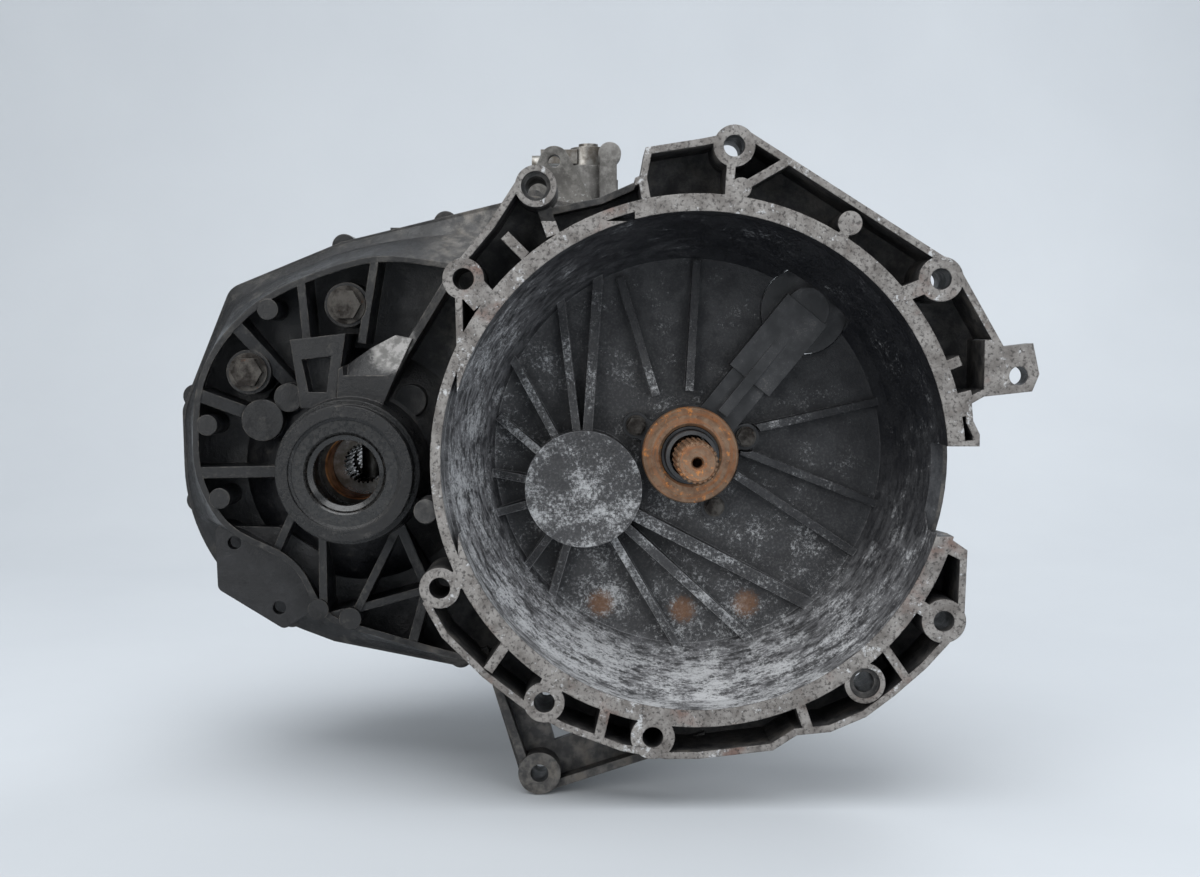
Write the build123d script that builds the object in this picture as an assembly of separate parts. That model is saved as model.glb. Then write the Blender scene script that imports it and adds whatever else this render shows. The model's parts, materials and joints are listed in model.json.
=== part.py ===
from build123d import *
import os
from math import acos, atan, atan2, cos, degrees, hypot, pi, radians, sin, tan

# Transverse five-speed manual transmission with its differential in the same case.
# Millimetres. +X is right, +Z is up, and +Y runs from the engine into the gearbox.
# The origin is where the input shaft's axis crosses the engine mating face.

# ---- shaft axes, as (x, z) ----
INPUT = (0, 0)
OUTPUT = (-67, -21)
DIFF = (-210, -8)
IDLER = (-4.15, -39.6)
RAIL_12 = (-97, 52)
RAIL_34 = (-50, 62)
RAIL_5R = (-78, 75)
TOWER = (-64, 207)  # this one is (x, y): the selector shaft stands along Z

# ---- main stations along Y ----
RIM_DEPTH = 18
FLANGE_DEPTH = 42
FLOOR_FRONT = 85
FLOOR_BACK = 92
PLATE_BACK = 97
JOINT = 140
REAR_WALL = 262
CASE_END = 288
GASKET = 0.8
COVER_END = 356
FENCE_FRONT = 62
DIFF_HUB_FRONT = 22

# ---- bell ----
MOUTH_R = 150
RIM_R = 156
BELL_PROFILE = [
    (0, FLOOR_BACK), (134, FLOOR_BACK), (138, 80), (150, 44), (RIM_R, 16), (RIM_R, 0),
    (MOUTH_R, 0), (MOUTH_R, RIM_DEPTH), (147, RIM_DEPTH), (130, 73), (124, FLOOR_FRONT),
    (0, FLOOR_FRONT),
]
WALL = 4
PIPE_HOLE = (74, 91)
PIPE_HOLE_R = 28
ARM_ANGLE = degrees(atan2(PIPE_HOLE[1], PIPE_HOLE[0]))
GUIDE_R = 16
BLISTER_R = 36.6
BLISTER_FRONT = 58

# ---- engine bolt pattern: name, x, z, boss radius ----
BOLT_HOLE_R = 6.2
ENGINE_BOLTS = {
    "a": (20, 183, 12), "b": (-94, 160, 12), "c": (-136, 107, 12), "d": (-151, -73, 12),
    "e": (-90, -141, 12), "f": (-26, -162, 13), "g": (99, -130, 12), "h": (145, -93, 13),
    "i": (140, 107, 13),
}
TAB_HOLE = (186, 51)
LOWER_LUG = (-94, -193)
LUG_R = 13
LUG_HOLE_R = 5.5

# ---- gear train ----
MODULE = 2.34047  # transverse: a tooth sum of 60 fills the 70.2 mm between the shafts
FINAL_MODULE = 2.8155
PRESSURE = radians(25)
ADDENDUM = 0.8
DEDENDUM = 1.1
HELIX = radians(20)
FLANK_PLAY = 0.2
RUNNING = 0.3  # clearance of each gear that turns freely on its shaft
FACE_RELIEF = 0.6  # how much narrower the fixed gear of each pair is, at either face
TEETH = {"1": (13, 47), "2": (20, 40), "3": (26, 34), "4": (31, 29), "5": (35, 25)}
REVERSE_TEETH = (14, 20, 36)
FINAL_TEETH = (25, 77)
GEAR_Y = {
    "1": (137, 153), "2": (183, 199), "3": (203, 218), "4": (246, 261), "5": (290, 305),
    "r": (329, 343), "final": (103, 133),
}
SYNCHRO_MID = {"12": 168, "34": 232, "5r": 317}
SYNCHRO_HALF = {"12": 15, "34": 14, "5r": 12}
SLEEVE_R = {"12": 38, "34": 36, "5r": 36}
SLEEVE_WIDTH = {"12": 14, "34": 13, "5r": 11}
FORK_OUTER_R = 46
RAIL_R = 7

# ---- bearings: inner radius, outer radius, width ----
INPUT_BEARING = (12.5, 26, 15)
OUTPUT_BEARING = (14, 31, 16)
DIFF_BEARING = (24, 36, 18)
BEARING_Y = {"input": (93, 266), "output": (64, 266), "diff": (76, 182)}

# ---- differential ----
DIFF_MID = 138
BEVEL_TEETH = (18, 10)
BEVEL_MODULE = 3.2
BEVEL_TIP = radians(3.2)
BEVEL_ROOT = radians(4.8)
BEVEL_PLAY = 0.5
CROSS_PIN_R = 8
CARRIER_R = 48
TRUNNION_R = 24
SIDE_HUB_R = 20


# ---- plain shapes ----

def rod(axis, y0, y1, r):
    """A cylinder along Y on the (x, z) axis."""
    x, z = axis
    return Pos(x, (y0 + y1) / 2, z) * Rot(90, 0, 0) * Cylinder(r, y1 - y0)


def tube(axis, y0, y1, r_out, r_in):
    return rod(axis, y0, y1, r_out) - rod(axis, y0 - 1, y1 + 1, r_in)


def post(x, y, z0, z1, r):
    """A cylinder along Z."""
    return Pos(x, y, (z0 + z1) / 2) * Cylinder(r, z1 - z0)


def bar(y, z, x0, x1, r):
    """A cylinder along X."""
    return Pos((x0 + x1) / 2, y, z) * Rot(0, 90, 0) * Cylinder(r, x1 - x0)


def block(x0, x1, y0, y1, z0, z1):
    return Pos((x0 + x1) / 2, (y0 + y1) / 2, (z0 + z1) / 2) * Box(x1 - x0, y1 - y0, z1 - z0)


def stand(sketch, y0, y1):
    """A sketch drawn as (x, z), extruded from y0 to y1."""
    return Pos(0, y0, 0) * Rot(90, 0, 0) * extrude(sketch, amount=-(y1 - y0))


def polygon(points, fillet=0):
    if fillet:
        return make_face(FilletPolyline(*points, radius=fillet, close=True))
    return make_face(Polyline(*points, close=True))


def hull(circles, y0=None, y1=None):
    """The shape that a belt round the (x, z, r) circles encloses."""
    edges = []
    for x, z, r in circles:
        edges += (Pos(x, z) * Circle(r)).edges()
    shape = make_hull(edges)
    return shape if y0 is None else stand(shape, y0, y1)


def turned(axis, profile):
    """A closed (r, y) profile turned about the Y-parallel axis."""
    x, z = axis
    face = make_face(Polyline(*[(r, y) for r, y in profile], close=True))
    return Pos(x, 0, z) * revolve(face, axis=Axis.Y)


def rib(p, q, front_p, front_q, back, thickness):
    """An upright web from p to q, both (x, z), whose front edge slopes from y front_p to front_q."""
    length = hypot(q[0] - p[0], q[1] - p[1])
    nx = -(q[1] - p[1]) / length * thickness / 2
    nz = (q[0] - p[0]) / length * thickness / 2
    corners = [(p, front_p), (q, front_q), (q, back), (p, back)]
    face = make_face(Polyline(*[(c[0] - nx, y, c[1] - nz) for c, y in corners], close=True))
    return extrude(face, amount=thickness, dir=(nx, 0, nz))


def along(origin, angle, distance):
    """The (x, z) point at this distance and angle in degrees from the origin."""
    return (origin[0] + distance * cos(radians(angle)), origin[1] + distance * sin(radians(angle)))


def hexagon(axis, y0, y1, across_flats):
    shape = Pos(axis[0], axis[1]) * RegularPolygon(across_flats / 2, 6, major_radius=False)
    return stand(shape, y0, y1)


def merged(shapes):
    """One solid from overlapping shapes."""
    first, *rest = shapes
    return first.fuse(*rest).clean()


def group(shapes):
    """Separate solids kept side by side in one sub-part."""
    return Compound(children=list(shapes))


# ---- teeth ----

def involute(angle):
    return tan(angle) - angle


def tooth_flank(teeth, module, outward=True):
    """(radius, half angle) pairs from a tooth's root to its tip."""
    pitch = module * teeth / 2
    base = pitch * cos(PRESSURE)
    root = pitch - DEDENDUM * module
    tip = pitch + ADDENDUM * module
    half_pitch = pi / (2 * teeth) - FLANK_PLAY / pitch
    radii = [root, base] if base > root + 0.4 else [root]
    radii += [pitch, tip]

    def half(r):
        over = acos(base / r) if r > base else 0
        return half_pitch + involute(PRESSURE) - involute(over)

    return [(r, half(r)) for r in radii]


def toothed_outline(teeth, flank, phase):
    points = []
    for i in range(teeth):
        middle = phase + 2 * pi * i / teeth
        for r, half in flank:
            points.append((r * cos(middle - half), r * sin(middle - half)))
        for r, half in reversed(flank):
            points.append((r * cos(middle + half), r * sin(middle + half)))
    return points


def helical(teeth, module, axis, ys, phase, hand):
    """A solid ring of helical teeth between the two ys, with one tooth at phase half way along."""
    y0, y1 = ys
    twist = hand * (y1 - y0) * tan(HELIX) / (module * teeth / 2)
    sections = []
    for y, turn in ((y0, -twist / 2), (y1, twist / 2)):
        outline = toothed_outline(teeth, tooth_flank(teeth, module), phase + turn)
        points = [(axis[0] + x, y, axis[1] + z) for x, z in outline]
        sections.append(make_face(Polyline(*points, close=True)))
    return loft(sections, ruled=True)


def facing(p, q):
    """The angle of q as seen from p."""
    return atan2(q[1] - p[1], q[0] - p[0])


def meshed_phase(teeth, phase, direction, other_teeth):
    """The phase of a gear whose gaps take the teeth of the gear it meshes with."""
    ahead = teeth * (phase - direction) / (2 * pi)
    return direction + pi + (0.5 - ahead) * 2 * pi / other_teeth


TO_OUTPUT = facing(INPUT, OUTPUT)
TO_IDLER = facing(INPUT, IDLER)
TO_DIFF = facing(OUTPUT, DIFF)


def driving_gear(speed, relief=0):
    y0, y1 = GEAR_Y[speed]
    return helical(TEETH[speed][0], MODULE, INPUT, (y0 + relief, y1 - relief), TO_OUTPUT, 1)


def driven_gear(speed, relief=0):
    drive, driven = TEETH[speed]
    y0, y1 = GEAR_Y[speed]
    phase = meshed_phase(drive, TO_OUTPUT, TO_OUTPUT, driven)
    return helical(driven, MODULE, OUTPUT, (y0 + relief, y1 - relief), phase, -1)


def splines(teeth, r_root, r_tip, share, axis, y0, y1):
    """A straight-toothed prism; share is how much of the pitch each tooth takes."""
    half = pi / teeth * share
    outline = toothed_outline(teeth, [(r_root, half * 1.15), (r_tip, half * 0.85)], pi / 2)
    return stand(polygon([(axis[0] + x, axis[1] + z) for x, z in outline]), y0, y1)


# ---- synchronisers ----

SPLINE_TEETH = 36
SLEEVE_WALL = 5.8


def synchro_side(synchro, end):
    """Where the synchroniser's parts lie on one side: a function from distance to y."""
    mid, half = SYNCHRO_MID[synchro], SYNCHRO_HALF[synchro]
    return lambda depth: mid + end * (half - depth)


def dog_and_cone(synchro, axis, end):
    """The clutch teeth and friction cone on the side of a gear that turns freely."""
    at = synchro_side(synchro, end)
    crest = SLEEVE_R[synchro] - SLEEVE_WALL - 2
    y0, y1 = sorted((at(-0.5), at(3)))
    ring = splines(SPLINE_TEETH, crest - 2, crest, 0.5, axis, y0, y1)
    cone = turned(axis, [
        (0, at(-0.5)), (crest - 4, at(-0.5)), (crest - 4, at(3)), (crest - 5, at(7)), (0, at(7)),
    ])
    return merged([ring, cone])


def baulk_ring(synchro, axis, end):
    at = synchro_side(synchro, end)
    crest = SLEEVE_R[synchro] - SLEEVE_WALL - 2
    y0, y1 = sorted((at(3.5), at(7.5)))
    ring = splines(SPLINE_TEETH, crest - 1.6, crest - 0.2, 0.5, axis, y0, y1)
    return ring - turned(axis, [(0, at(3)), (crest - 3.6, at(3)), (crest - 4.6, at(8)), (0, at(8))])


def hub(synchro, axis, bore):
    mid = SYNCHRO_MID[synchro]
    half = SYNCHRO_HALF[synchro] - 8
    crest = SLEEVE_R[synchro] - SLEEVE_WALL - 0.4
    body = splines(SPLINE_TEETH, crest - 1.6, crest, 0.42, axis, mid - half, mid + half)
    dish = tube(axis, mid + half - 1.5, mid + half + 1, crest - 6, bore + 5)
    return body - rod(axis, mid - half - 1, mid + half + 1, bore) - dish


def sleeve(synchro, axis):
    mid, width, r = SYNCHRO_MID[synchro], SLEEVE_WIDTH[synchro], SLEEVE_R[synchro]
    y0, y1 = mid - width / 2, mid + width / 2
    groove = width / 2 - 3
    body = rod(axis, y0, y1, r) - tube(axis, mid - groove, mid + groove, r + 1, r - 3.6)
    root = r - SLEEVE_WALL
    return body - splines(SPLINE_TEETH, root - 1.6, root, 0.58, axis, y0 - 1, y1 + 1)


def fork(synchro, axis, rail_axis, rail_y):
    """A selector fork and the rail it is fixed to, as two solids."""
    mid, width, r = SYNCHRO_MID[synchro], SLEEVE_WIDTH[synchro], SLEEVE_R[synchro]
    pad = width / 2 - 3 - 0.45
    inner = r - 3.6 + 0.5
    ring = tube(axis, mid - pad, mid + pad, FORK_OUTER_R, inner)
    away = facing(rail_axis, axis)
    reach = (FORK_OUTER_R + 6)
    cut_at = (axis[0] + (reach + 6) * cos(away), axis[1] + (reach + 6) * sin(away))
    opening = Pos(cut_at[0], mid, cut_at[1]) * Rot(0, -degrees(away), 0) * Box(2 * reach, width, 2 * reach)
    ring -= opening
    near = along(axis, degrees(away) + 180, FORK_OUTER_R - 3)
    arm = rib(near, rail_axis, mid - pad, mid - pad, mid + pad, 16)
    boss = rod(rail_axis, mid - 12, mid + 12, RAIL_R + 5)
    y0, y1 = rail_y
    body = merged([ring, arm, boss]) - rod(rail_axis, mid - 20, mid + 20, RAIL_R)
    jaw = selector_jaw(synchro, rail_axis) - rod(rail_axis, 170, 250, RAIL_R)
    rail = rod(rail_axis, y0, y1, RAIL_R)
    for notch in (-8, 0, 8):
        rail -= Pos(rail_axis[0], y0 + 30 + notch, rail_axis[1] + RAIL_R + 1.2) * Sphere(3)
    return body, jaw, rail


def selector_jaw(synchro, rail_axis):
    """The bracket clamped on a rail, with the notched jaw that the selector finger faces."""
    level = JAW_LEVELS[synchro]
    x, z = rail_axis
    y = TOWER[1]
    low, high = level - 2.5, level + 2.5
    jaw = block(*JAW_X, y - 10, y + 10, low, high)
    jaw -= block(JAW_X[1] - 7, JAW_X[1] + 1, y - 5, y + 5, low, high)
    if synchro == "12":
        clamp = rod(rail_axis, y - 4, y + 4, RAIL_R + 4)
        upright = block(-103, -95, y - 4, y + 4, z, high)
        return merged([jaw, clamp, upright])
    near, far = {"34": (y - 23, y - 18), "5r": (y + 17, y + 22)}[synchro]
    clamp = rod(rail_axis, near, far, RAIL_R + 4)
    upright = block(x - 5, x + 5, near, far, z, high)
    beam = block(JAW_X[0], x + 5, near, far, low, high)
    arm = block(JAW_X[0], JAW_X[0] + 5, min(near, y - 10), max(far, y + 10), low, high)
    return merged([jaw, clamp, upright, beam, arm])


# ---- bearings ----

def ball_bearing(axis, y0, size):
    """The outer ring, and the inner ring with its balls, of a deep groove bearing."""
    r_in, r_out, width = size
    mid = y0 + width / 2
    pitch = (r_in + r_out) / 2
    ball = (r_out - r_in) * 0.27
    shoulder = ball * 0.5
    track = Pos(axis[0], mid, axis[1]) * Rot(90, 0, 0) * Torus(pitch, ball + 0.35)
    outer = tube(axis, y0, y0 + width, r_out, pitch + shoulder) - track
    near = Pos(axis[0], mid, axis[1]) * Rot(90, 0, 0) * Torus(pitch, ball + 0.06)
    inner = tube(axis, y0, y0 + width, pitch - shoulder, r_in) - near
    count = 9
    balls = []
    for i in range(count):
        x, z = along(axis, 360 / count * i + 7, pitch)
        balls.append(Pos(x, mid, z) * Sphere(ball))
    return outer, [inner] + balls


# ---- input side ----

def input_shaft():
    profile = [
        (0, 3), (10.5, 3), (12, 5.5), (11.2, 44), (11.2, 60), (12.2, 62), (12.2, 92), (12.5, 93), (12.5, 137),
        (12.5, 153), (14, 155), (14, 199), (15, 200), (15, 262), (13, 263), (12.5, 266), (12.5, 281),
        (12.5, 289.5), (11, 289.5), (11, 345), (10, 346), (0, 346),
    ]
    body = turned(INPUT, profile)
    spline = splines(23, 11.1, 12.5, 0.5, INPUT, 4, 44)
    spline &= turned(INPUT, [(0, 3), (11, 3), (14, 7), (14, 45), (0, 45)])
    shaft = merged([body, spline, driving_gear("1", FACE_RELIEF), driving_gear("2", FACE_RELIEF)])
    shaft -= turned(INPUT, [(0, 2), (4.5, 2), (3, 5), (3, 18), (0, 20)])
    return shaft


def gear_5_drive():
    """The fifth and reverse driving gears, one cluster on the shaft's tail."""
    reverse = helical(REVERSE_TEETH[0], MODULE, INPUT, GEAR_Y["r"], TO_IDLER, 1)
    sleeve_tube = rod(INPUT, GEAR_Y["5"][1] - 1, GEAR_Y["r"][0] + 1, 13.5)
    return merged([driving_gear("5", FACE_RELIEF), sleeve_tube, reverse]) - rod(INPUT, 280, 350, 11)


def free_gear(teeth_ring, synchro, axis, end, bore):
    gear = merged([teeth_ring, dog_and_cone(synchro, axis, end)])
    return gear - rod(axis, 100, 350, bore + RUNNING)


def webbed(gear, axis, ys, r_in, r_out, depth):
    """Recess both faces of a wide gear between its rim and its hub."""
    y0, y1 = ys
    gear -= tube(axis, y0 - 1, y0 + depth, r_out, r_in)
    return gear - tube(axis, y1 - depth, y1 + 1, r_out, r_in)


# ---- output side ----

def output_shaft():
    profile = [
        (0, 62), (13, 62), (14, 63), (14, 80.5), (20, 80.5), (20, 133), (24, 133), (24, 136.5), (19, 136.5),
        (19, 199.5), (17, 201), (17, 263), (14, 265), (14, 344), (12, 344), (12, 345), (0, 345),
    ]
    pinion_phase = TO_DIFF
    pinion = helical(FINAL_TEETH[0], FINAL_MODULE, OUTPUT, GEAR_Y["final"], pinion_phase, 1)
    nut = hexagon(OUTPUT, 344, 350, 24) - rod(OUTPUT, 343, 344, 30)
    shaft = merged([turned(OUTPUT, profile), pinion, nut])
    return shaft - rod(OUTPUT, 60, 300, 5)


def fixed_driven_gear(speed):
    y0, y1 = GEAR_Y[speed]
    teeth = TEETH[speed][1]
    root = MODULE * teeth / 2 - DEDENDUM * MODULE
    gear = driven_gear(speed, FACE_RELIEF) - rod(OUTPUT, y0 - 1, y1 + 1, 17)
    return webbed(gear, OUTPUT, (y0, y1), 23, root - 5, 3)


def reverse_idler_phase():
    return meshed_phase(REVERSE_TEETH[0], TO_IDLER, TO_IDLER, REVERSE_TEETH[1])


def reverse_idler_gear():
    gear = helical(REVERSE_TEETH[1], MODULE, IDLER, GEAR_Y["r"], reverse_idler_phase(), -1)
    return gear - rod(IDLER, 320, 350, 9 + RUNNING)


def gear_r_driven():
    phase = reverse_idler_phase()
    direction = facing(IDLER, OUTPUT)
    own = meshed_phase(REVERSE_TEETH[1], phase, direction, REVERSE_TEETH[2])
    ring = helical(REVERSE_TEETH[2], MODULE, OUTPUT, GEAR_Y["r"], own, 1)
    return free_gear(ring, "5r", OUTPUT, 1, 14)


# ---- differential ----

def ring_gear():
    phase = meshed_phase(FINAL_TEETH[0], TO_DIFF, TO_DIFF, FINAL_TEETH[1])
    y0, y1 = GEAR_Y["final"]
    gear = helical(FINAL_TEETH[1], FINAL_MODULE, DIFF, (y0, y1), phase, -1)
    gear -= rod(DIFF, y0 - 1, y1 + 1, 60)
    gear -= tube(DIFF, y0 - 1, y0 + 8, 98, 68)
    for x, z in ring_bolt_places():
        gear -= rod((x, z), y1 - 18, y1 + 1, 5)
    return gear


def ring_bolt_places():
    return [along(DIFF, 36 * i + 18, 71) for i in range(10)]


def ring_gear_bolts():
    y = GEAR_Y["final"][1] + 8
    bolts = []
    for place in ring_bolt_places():
        bolts.append(merged([rod(place, y - 22, y, 5), hexagon(place, y, y + 6, 16)]))
    return group(bolts)


def bevel_teeth(teeth, pitch_angle, far, near):
    """Straight bevel teeth about +Z with their apex at the origin, between two distances from it."""
    cone = BEVEL_MODULE * teeth / 2 / sin(pitch_angle)
    flank = []
    for lift in (-BEVEL_ROOT, 0, BEVEL_TIP):
        angle = pitch_angle + lift
        half = pi * BEVEL_MODULE / 4 - BEVEL_PLAY - tan(radians(22)) * cone * lift
        flank.append((tan(angle), half / (cone * sin(angle))))
    sections = []
    for distance in (near, far):
        scaled = [(slope * distance, half) for slope, half in flank]
        outline = toothed_outline(teeth, scaled, bevel_phase(teeth))
        sections.append(make_face(Polyline(*[(x, y, distance) for x, y in outline], close=True)))
    return loft(sections, ruled=True)


def bevel_phase(teeth):
    """Side gears have a tooth towards each pinion, and the pinions have a gap towards them."""
    return pi / 2 if teeth == BEVEL_TEETH[0] else pi / 2 + pi / teeth


SIDE_R = BEVEL_MODULE * BEVEL_TEETH[0] / 2
PINION_R = BEVEL_MODULE * BEVEL_TEETH[1] / 2
SIDE_ANGLE = atan(SIDE_R / PINION_R)


def at_diff(shape, rotation):
    return Pos(DIFF[0], DIFF_MID, DIFF[1]) * rotation * shape


def side_gear(rotation):
    teeth = bevel_teeth(BEVEL_TEETH[0], SIDE_ANGLE, PINION_R, PINION_R * 0.62)
    back = Pos(0, 0, PINION_R + 2.5) * Cylinder(23.5, 5.02)
    sleeve_hub = Pos(0, 0, (PINION_R + 41) / 2) * Cylinder(SIDE_HUB_R, 41 - PINION_R)
    gear = merged([teeth, back, sleeve_hub])
    bore_outline = toothed_outline(27, [(12, pi / 27 * 0.6), (13.2, pi / 27 * 0.4)], 0)
    gear -= Pos(0, 0, 5) * extrude(polygon(bore_outline), amount=60)
    return at_diff(gear, rotation)


def diff_pinion(rotation):
    teeth = bevel_teeth(BEVEL_TEETH[1], pi / 2 - SIDE_ANGLE, SIDE_R, SIDE_R * 0.66)
    back = Pos(0, 0, SIDE_R + 2) * Cylinder(12.6, 4.02)
    gear = merged([teeth, back]) - Pos(0, 0, 30) * Cylinder(CROSS_PIN_R + RUNNING, 60)
    return at_diff(gear, rotation)


def diff_carrier():
    y_front, y_back = DIFF_MID - 38, DIFF_MID + 44
    end_front, end_back = BEARING_Y["diff"][0] - 2, BEARING_Y["diff"][1] + DIFF_BEARING[2] + 2
    body = merged([
        rod(DIFF, y_front, y_back, CARRIER_R),
        rod(DIFF, GEAR_Y["final"][1] - 14, GEAR_Y["final"][1], 60),
        rod(DIFF, GEAR_Y["final"][1], GEAR_Y["final"][1] + 8, 82),
        rod(DIFF, end_front, end_back, TRUNNION_R),
    ])
    for y0, y1 in ((y_front - 1, y_front + 6), (y_back - 6, y_back + 1)):
        body -= tube(DIFF, y0, y1, CARRIER_R + 1, 40)
    body -= rod(DIFF, DIFF_MID - PINION_R - 5.6, DIFF_MID + PINION_R + 5.6, 34.5)
    body -= rod(DIFF, end_front - 1, end_back + 1, SIDE_HUB_R + RUNNING)
    body -= Pos(DIFF[0], DIFF_MID, DIFF[1]) * Cylinder(19.6, 2 * (SIDE_R + 4.6))
    body -= Pos(DIFF[0], DIFF_MID, DIFF[1]) * Cylinder(CROSS_PIN_R, 120)
    window = Pos(DIFF[0], DIFF_MID + 4, DIFF[1]) * Box(120, 30, 30)
    body -= window - rod(DIFF, 119, GEAR_Y["final"][1] + 8.5, 90)
    for place in ring_bolt_places():
        body -= rod(place, 120, 150, 5)
    return body


def diff_cross_pin():
    return Pos(DIFF[0], DIFF_MID, DIFF[1]) * Cylinder(CROSS_PIN_R, 2 * CARRIER_R - 6)



# ---- castings: outlines ----

FLANGE_OUTLINE = [
    (-140, -60), (-161, -82), (-150, -102), (-126, -126), (-103, -144), (-80, -157), (-45, -170), (-19, -175),
    (1, -175), (45, -170), (59, -161), (79, -159), (100, -150), (117, -137), (135, -121), (152, -102),
    (157, -88), (158, -51), (145, -42), (145, 8), (164, 10), (164, 17), (160, 25), (159, 35), (166, 39),
    (194, 42), (198, 52), (194, 70), (177, 68), (152, 111), (143, 119), (27, 192), (1, 187), (-31, 182),
    (-34, 166), (-57, 156), (-85, 150), (-106, 162), (-121, 139), (-141, 115), (-140, 60),
]
FLANGE_WEBS = [  # from the bell's ring to the outer wall: ends and thickness
    ((19, 184), (17, 152), 5), ((24, 159), (50, 174), 5), ((87, 139), (80, 126), 6),
    ((140, 107), (118, 98), 9), ((152, 60), (140, 55), 6), ((160, 36), (148, 33), 14),
    ((158, -56), (146, -50), 5), ((145, -93), (130, -84), 8),
    ((124, -128), (110, -108), 5), ((99, -130), (92, -120), 12), ((66, -158), (60, -140), 6),
    ((-26, -162), (-24, -150), 14), ((-58, -163), (-54, -146), 6), ((-90, -141), (-84, -128), 14),
    ((-123, -122), (-112, -106), 6), ((-151, -73), (-140, -66), 14), ((-136, 107), (-124, 94), 16),
    ((-112, 132), (-100, 120), 6), ((-94, 160), (-84, 132), 8), ((-34, 172), (-30, 150), 5),
]
JOINT_CIRCLES = [
    (*DIFF, 117.5), (-316, 25, 12), (-285, 95, 14), (-219, 122, 14), (-150, 138, 14), (-100, 151, 14),
    (-15, 136, 14), (44, 35, 14), (44, -36, 14), (26, -66, 12), (-60, -110, 10), (-150, -132, 10),
    (-229, -118, 8),
]
GEAR_CIRCLES = [
    (*OUTPUT, 64), (*INPUT, 56), (*RAIL_12, 18), (*RAIL_34, 17), (*RAIL_5R, 18), (*IDLER, 34),
]
CASE_BOLT_ANGLES = [193, 218, 243]  # round the differential
CASE_BOLT_PLACES = [along(DIFF, a, 117) for a in CASE_BOLT_ANGLES] + [
    (-325, 35), (-290, 101), (-225, 134), (-158, 149), (-100, 163), (-12, 147), (54, 48), (61, -31),
    (30, -76), (-60, -119), (-150, -140),
]
COVER_BOLT_PLACES = [along(OUTPUT, a, 72.5) for a in (150, 205, 235, 268)] + [
    along(INPUT, a, 64.5) for a in (60, 25, 345)] + [along(RAIL_5R, 65, 26.5), along(RAIL_12, 150, 26.5)] + [
    along(IDLER, a, 42.5) for a in (285, 330)
]
BOLT_BOSS_R = 8
COVER_BOSS_R = 9.5
BOLT_R = 4
HOUSING_BOLT_PLACES = [(-215, 94), (-277, 52)]
JAW_LEVELS = {"12": 96, "34": 104, "5r": 112}
JAW_X = (-98, -86.5)
TURRET = (-114, -38, 169, 245)  # x and y limits of the turret under the shift tower
TURRET_TOP = 150
LIFTING_EYE = (-87, 193)
PLATE_HOLES = [(-290, -57), (-262, -99)]
BREATHER = (-22, 200)  # (x, y)
BREATHER_TOP = 98
SENSOR = (-192, 164)  # (x, y)
SENSOR_TOP = 128
DRAIN = (-67, 215)  # (x, y)
DRAIN_FOOT = -92
FILLER = (-112, 0)  # (x, z)
SWITCH = (275, -10)  # (y, z)
CRANK_PIVOT = (243, 178)  # (y, z)
FENCE_POINTS = [  # the front edge of the wall round the differential's side, anticlockwise
    (-96, 117), (-149, 119), (-174, 123), (-197, 123.5), (-221, 118), (-245, 109), (-263, 100), (-284, 83),
    (-299, 64), (-307.5, 44.5), (-311, 13), (-310, -9), (-304, -27), (-292, -45), (-274, -57), (-258, -64.5),
    (-246, -76), (-238, -92), (-228, -104), (-207, -112), (-176, -121), (-145, -129.5), (-96, -134),
    (-30, -112), (8, -55), (24, 0), (14, 50), (-30, 105),
]
OUTLINE_CENTRE = (-190, 0)
OUTLINE_POINTS = 72
HELD_SECTOR = (200, 258)  # degrees between which the wall stays upright behind its front edge
FENCE_BACK = 92
JOINT_STEP = 0.8  # how far the smooth wall stands inside the joint's outline where they meet
SIDE_PLATE = [(-298, -50, 4), (-296, -84, 5), (-259, -107, 5), (-240, -95, 5), (-240, -66, 5), (-262, -52, 5)]
SIDE_PLATE_Y = (76, 83)
DIFF_RIBS = [  # inner end, outer end, y of the front edge at each, thickness
    ((-239, 70), (-243, 116), 58, 62, 5), ((-205, 70), (-196, 124), 56, 62, 5),
    ((-186, 52), (-149, 112), 50, 62, 5), ((-248, 38), (-286, 84), 78, 62, 8),
    ((-262, 20), (-308, 38), 72, 62, 8), ((-250, -10), (-312, -11), 64, 62, 7),
    ((-250, -38), (-263, -66), 58, 66, 5), ((-231, -46), (-231, -104), 56, 63, 5),
    ((-184, -46), (-214, -106), 58, 64, 5), ((-184, -40), (-166, -84), 56, 66, 6),
    ((-234, -104), (-168, -86), 64, 66, 5), ((-166, -84), (-176, -122), 66, 62, 6),
    ((-150, 40), (-104, 66), 60, 66, 6),
]
HUB_BLOCK = [(-247, 72), (-213, 76), (-220, 30), (-241, 30)]
HUB_BLOCK_RECESS = [(-240, 60), (-222, 62), (-225, 40), (-236, 40)]
HUB_BLOCK_FRONT = 50
HUB_WEDGE = [(-219, 26), (-217, 54), (-199, 67), (-184, 75), (-173, 73), (-183, 48), (-192, 28)]
HUB_WEDGE_FRONT = 47
DIFF_STUDS = [  # x, z, front y, radius of the round lumps on the floor of the side chamber
    (-263, 91, 61, 6.5), (-302, 19, 61, 6.5), (-295, -27, 61, 6.5), (-234, -97, 60, 6.5), (-214, -103, 60, 7),
    (-268, 22, 64, 13), (-252, 36, 66, 9), (-166, -37, 62, 6.5), (-176, 34, 68, 10),
]
BLISTER_RIBS = [  # angle about the output shaft's axis, outer radius, thickness
    (141, 70, 5), (119, 108, 5), (97, 136, 5), (86, 146, 6), (172, 60, 5), (197, 73, 5), (235, 71, 5),
    (254, 80, 5), (300, 127, 5), (317, 152, 6), (332, 172, 8),
]
HUB_RIBS = [
    ((-21, 37), (-44, 112)), ((0, 40), (5, 123)), ((29, -13), (111, -67)), ((33, 2), (121, -33)),
    ((33, 14), (122, 33)),
]


# ---- castings: clutch housing ----

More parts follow.
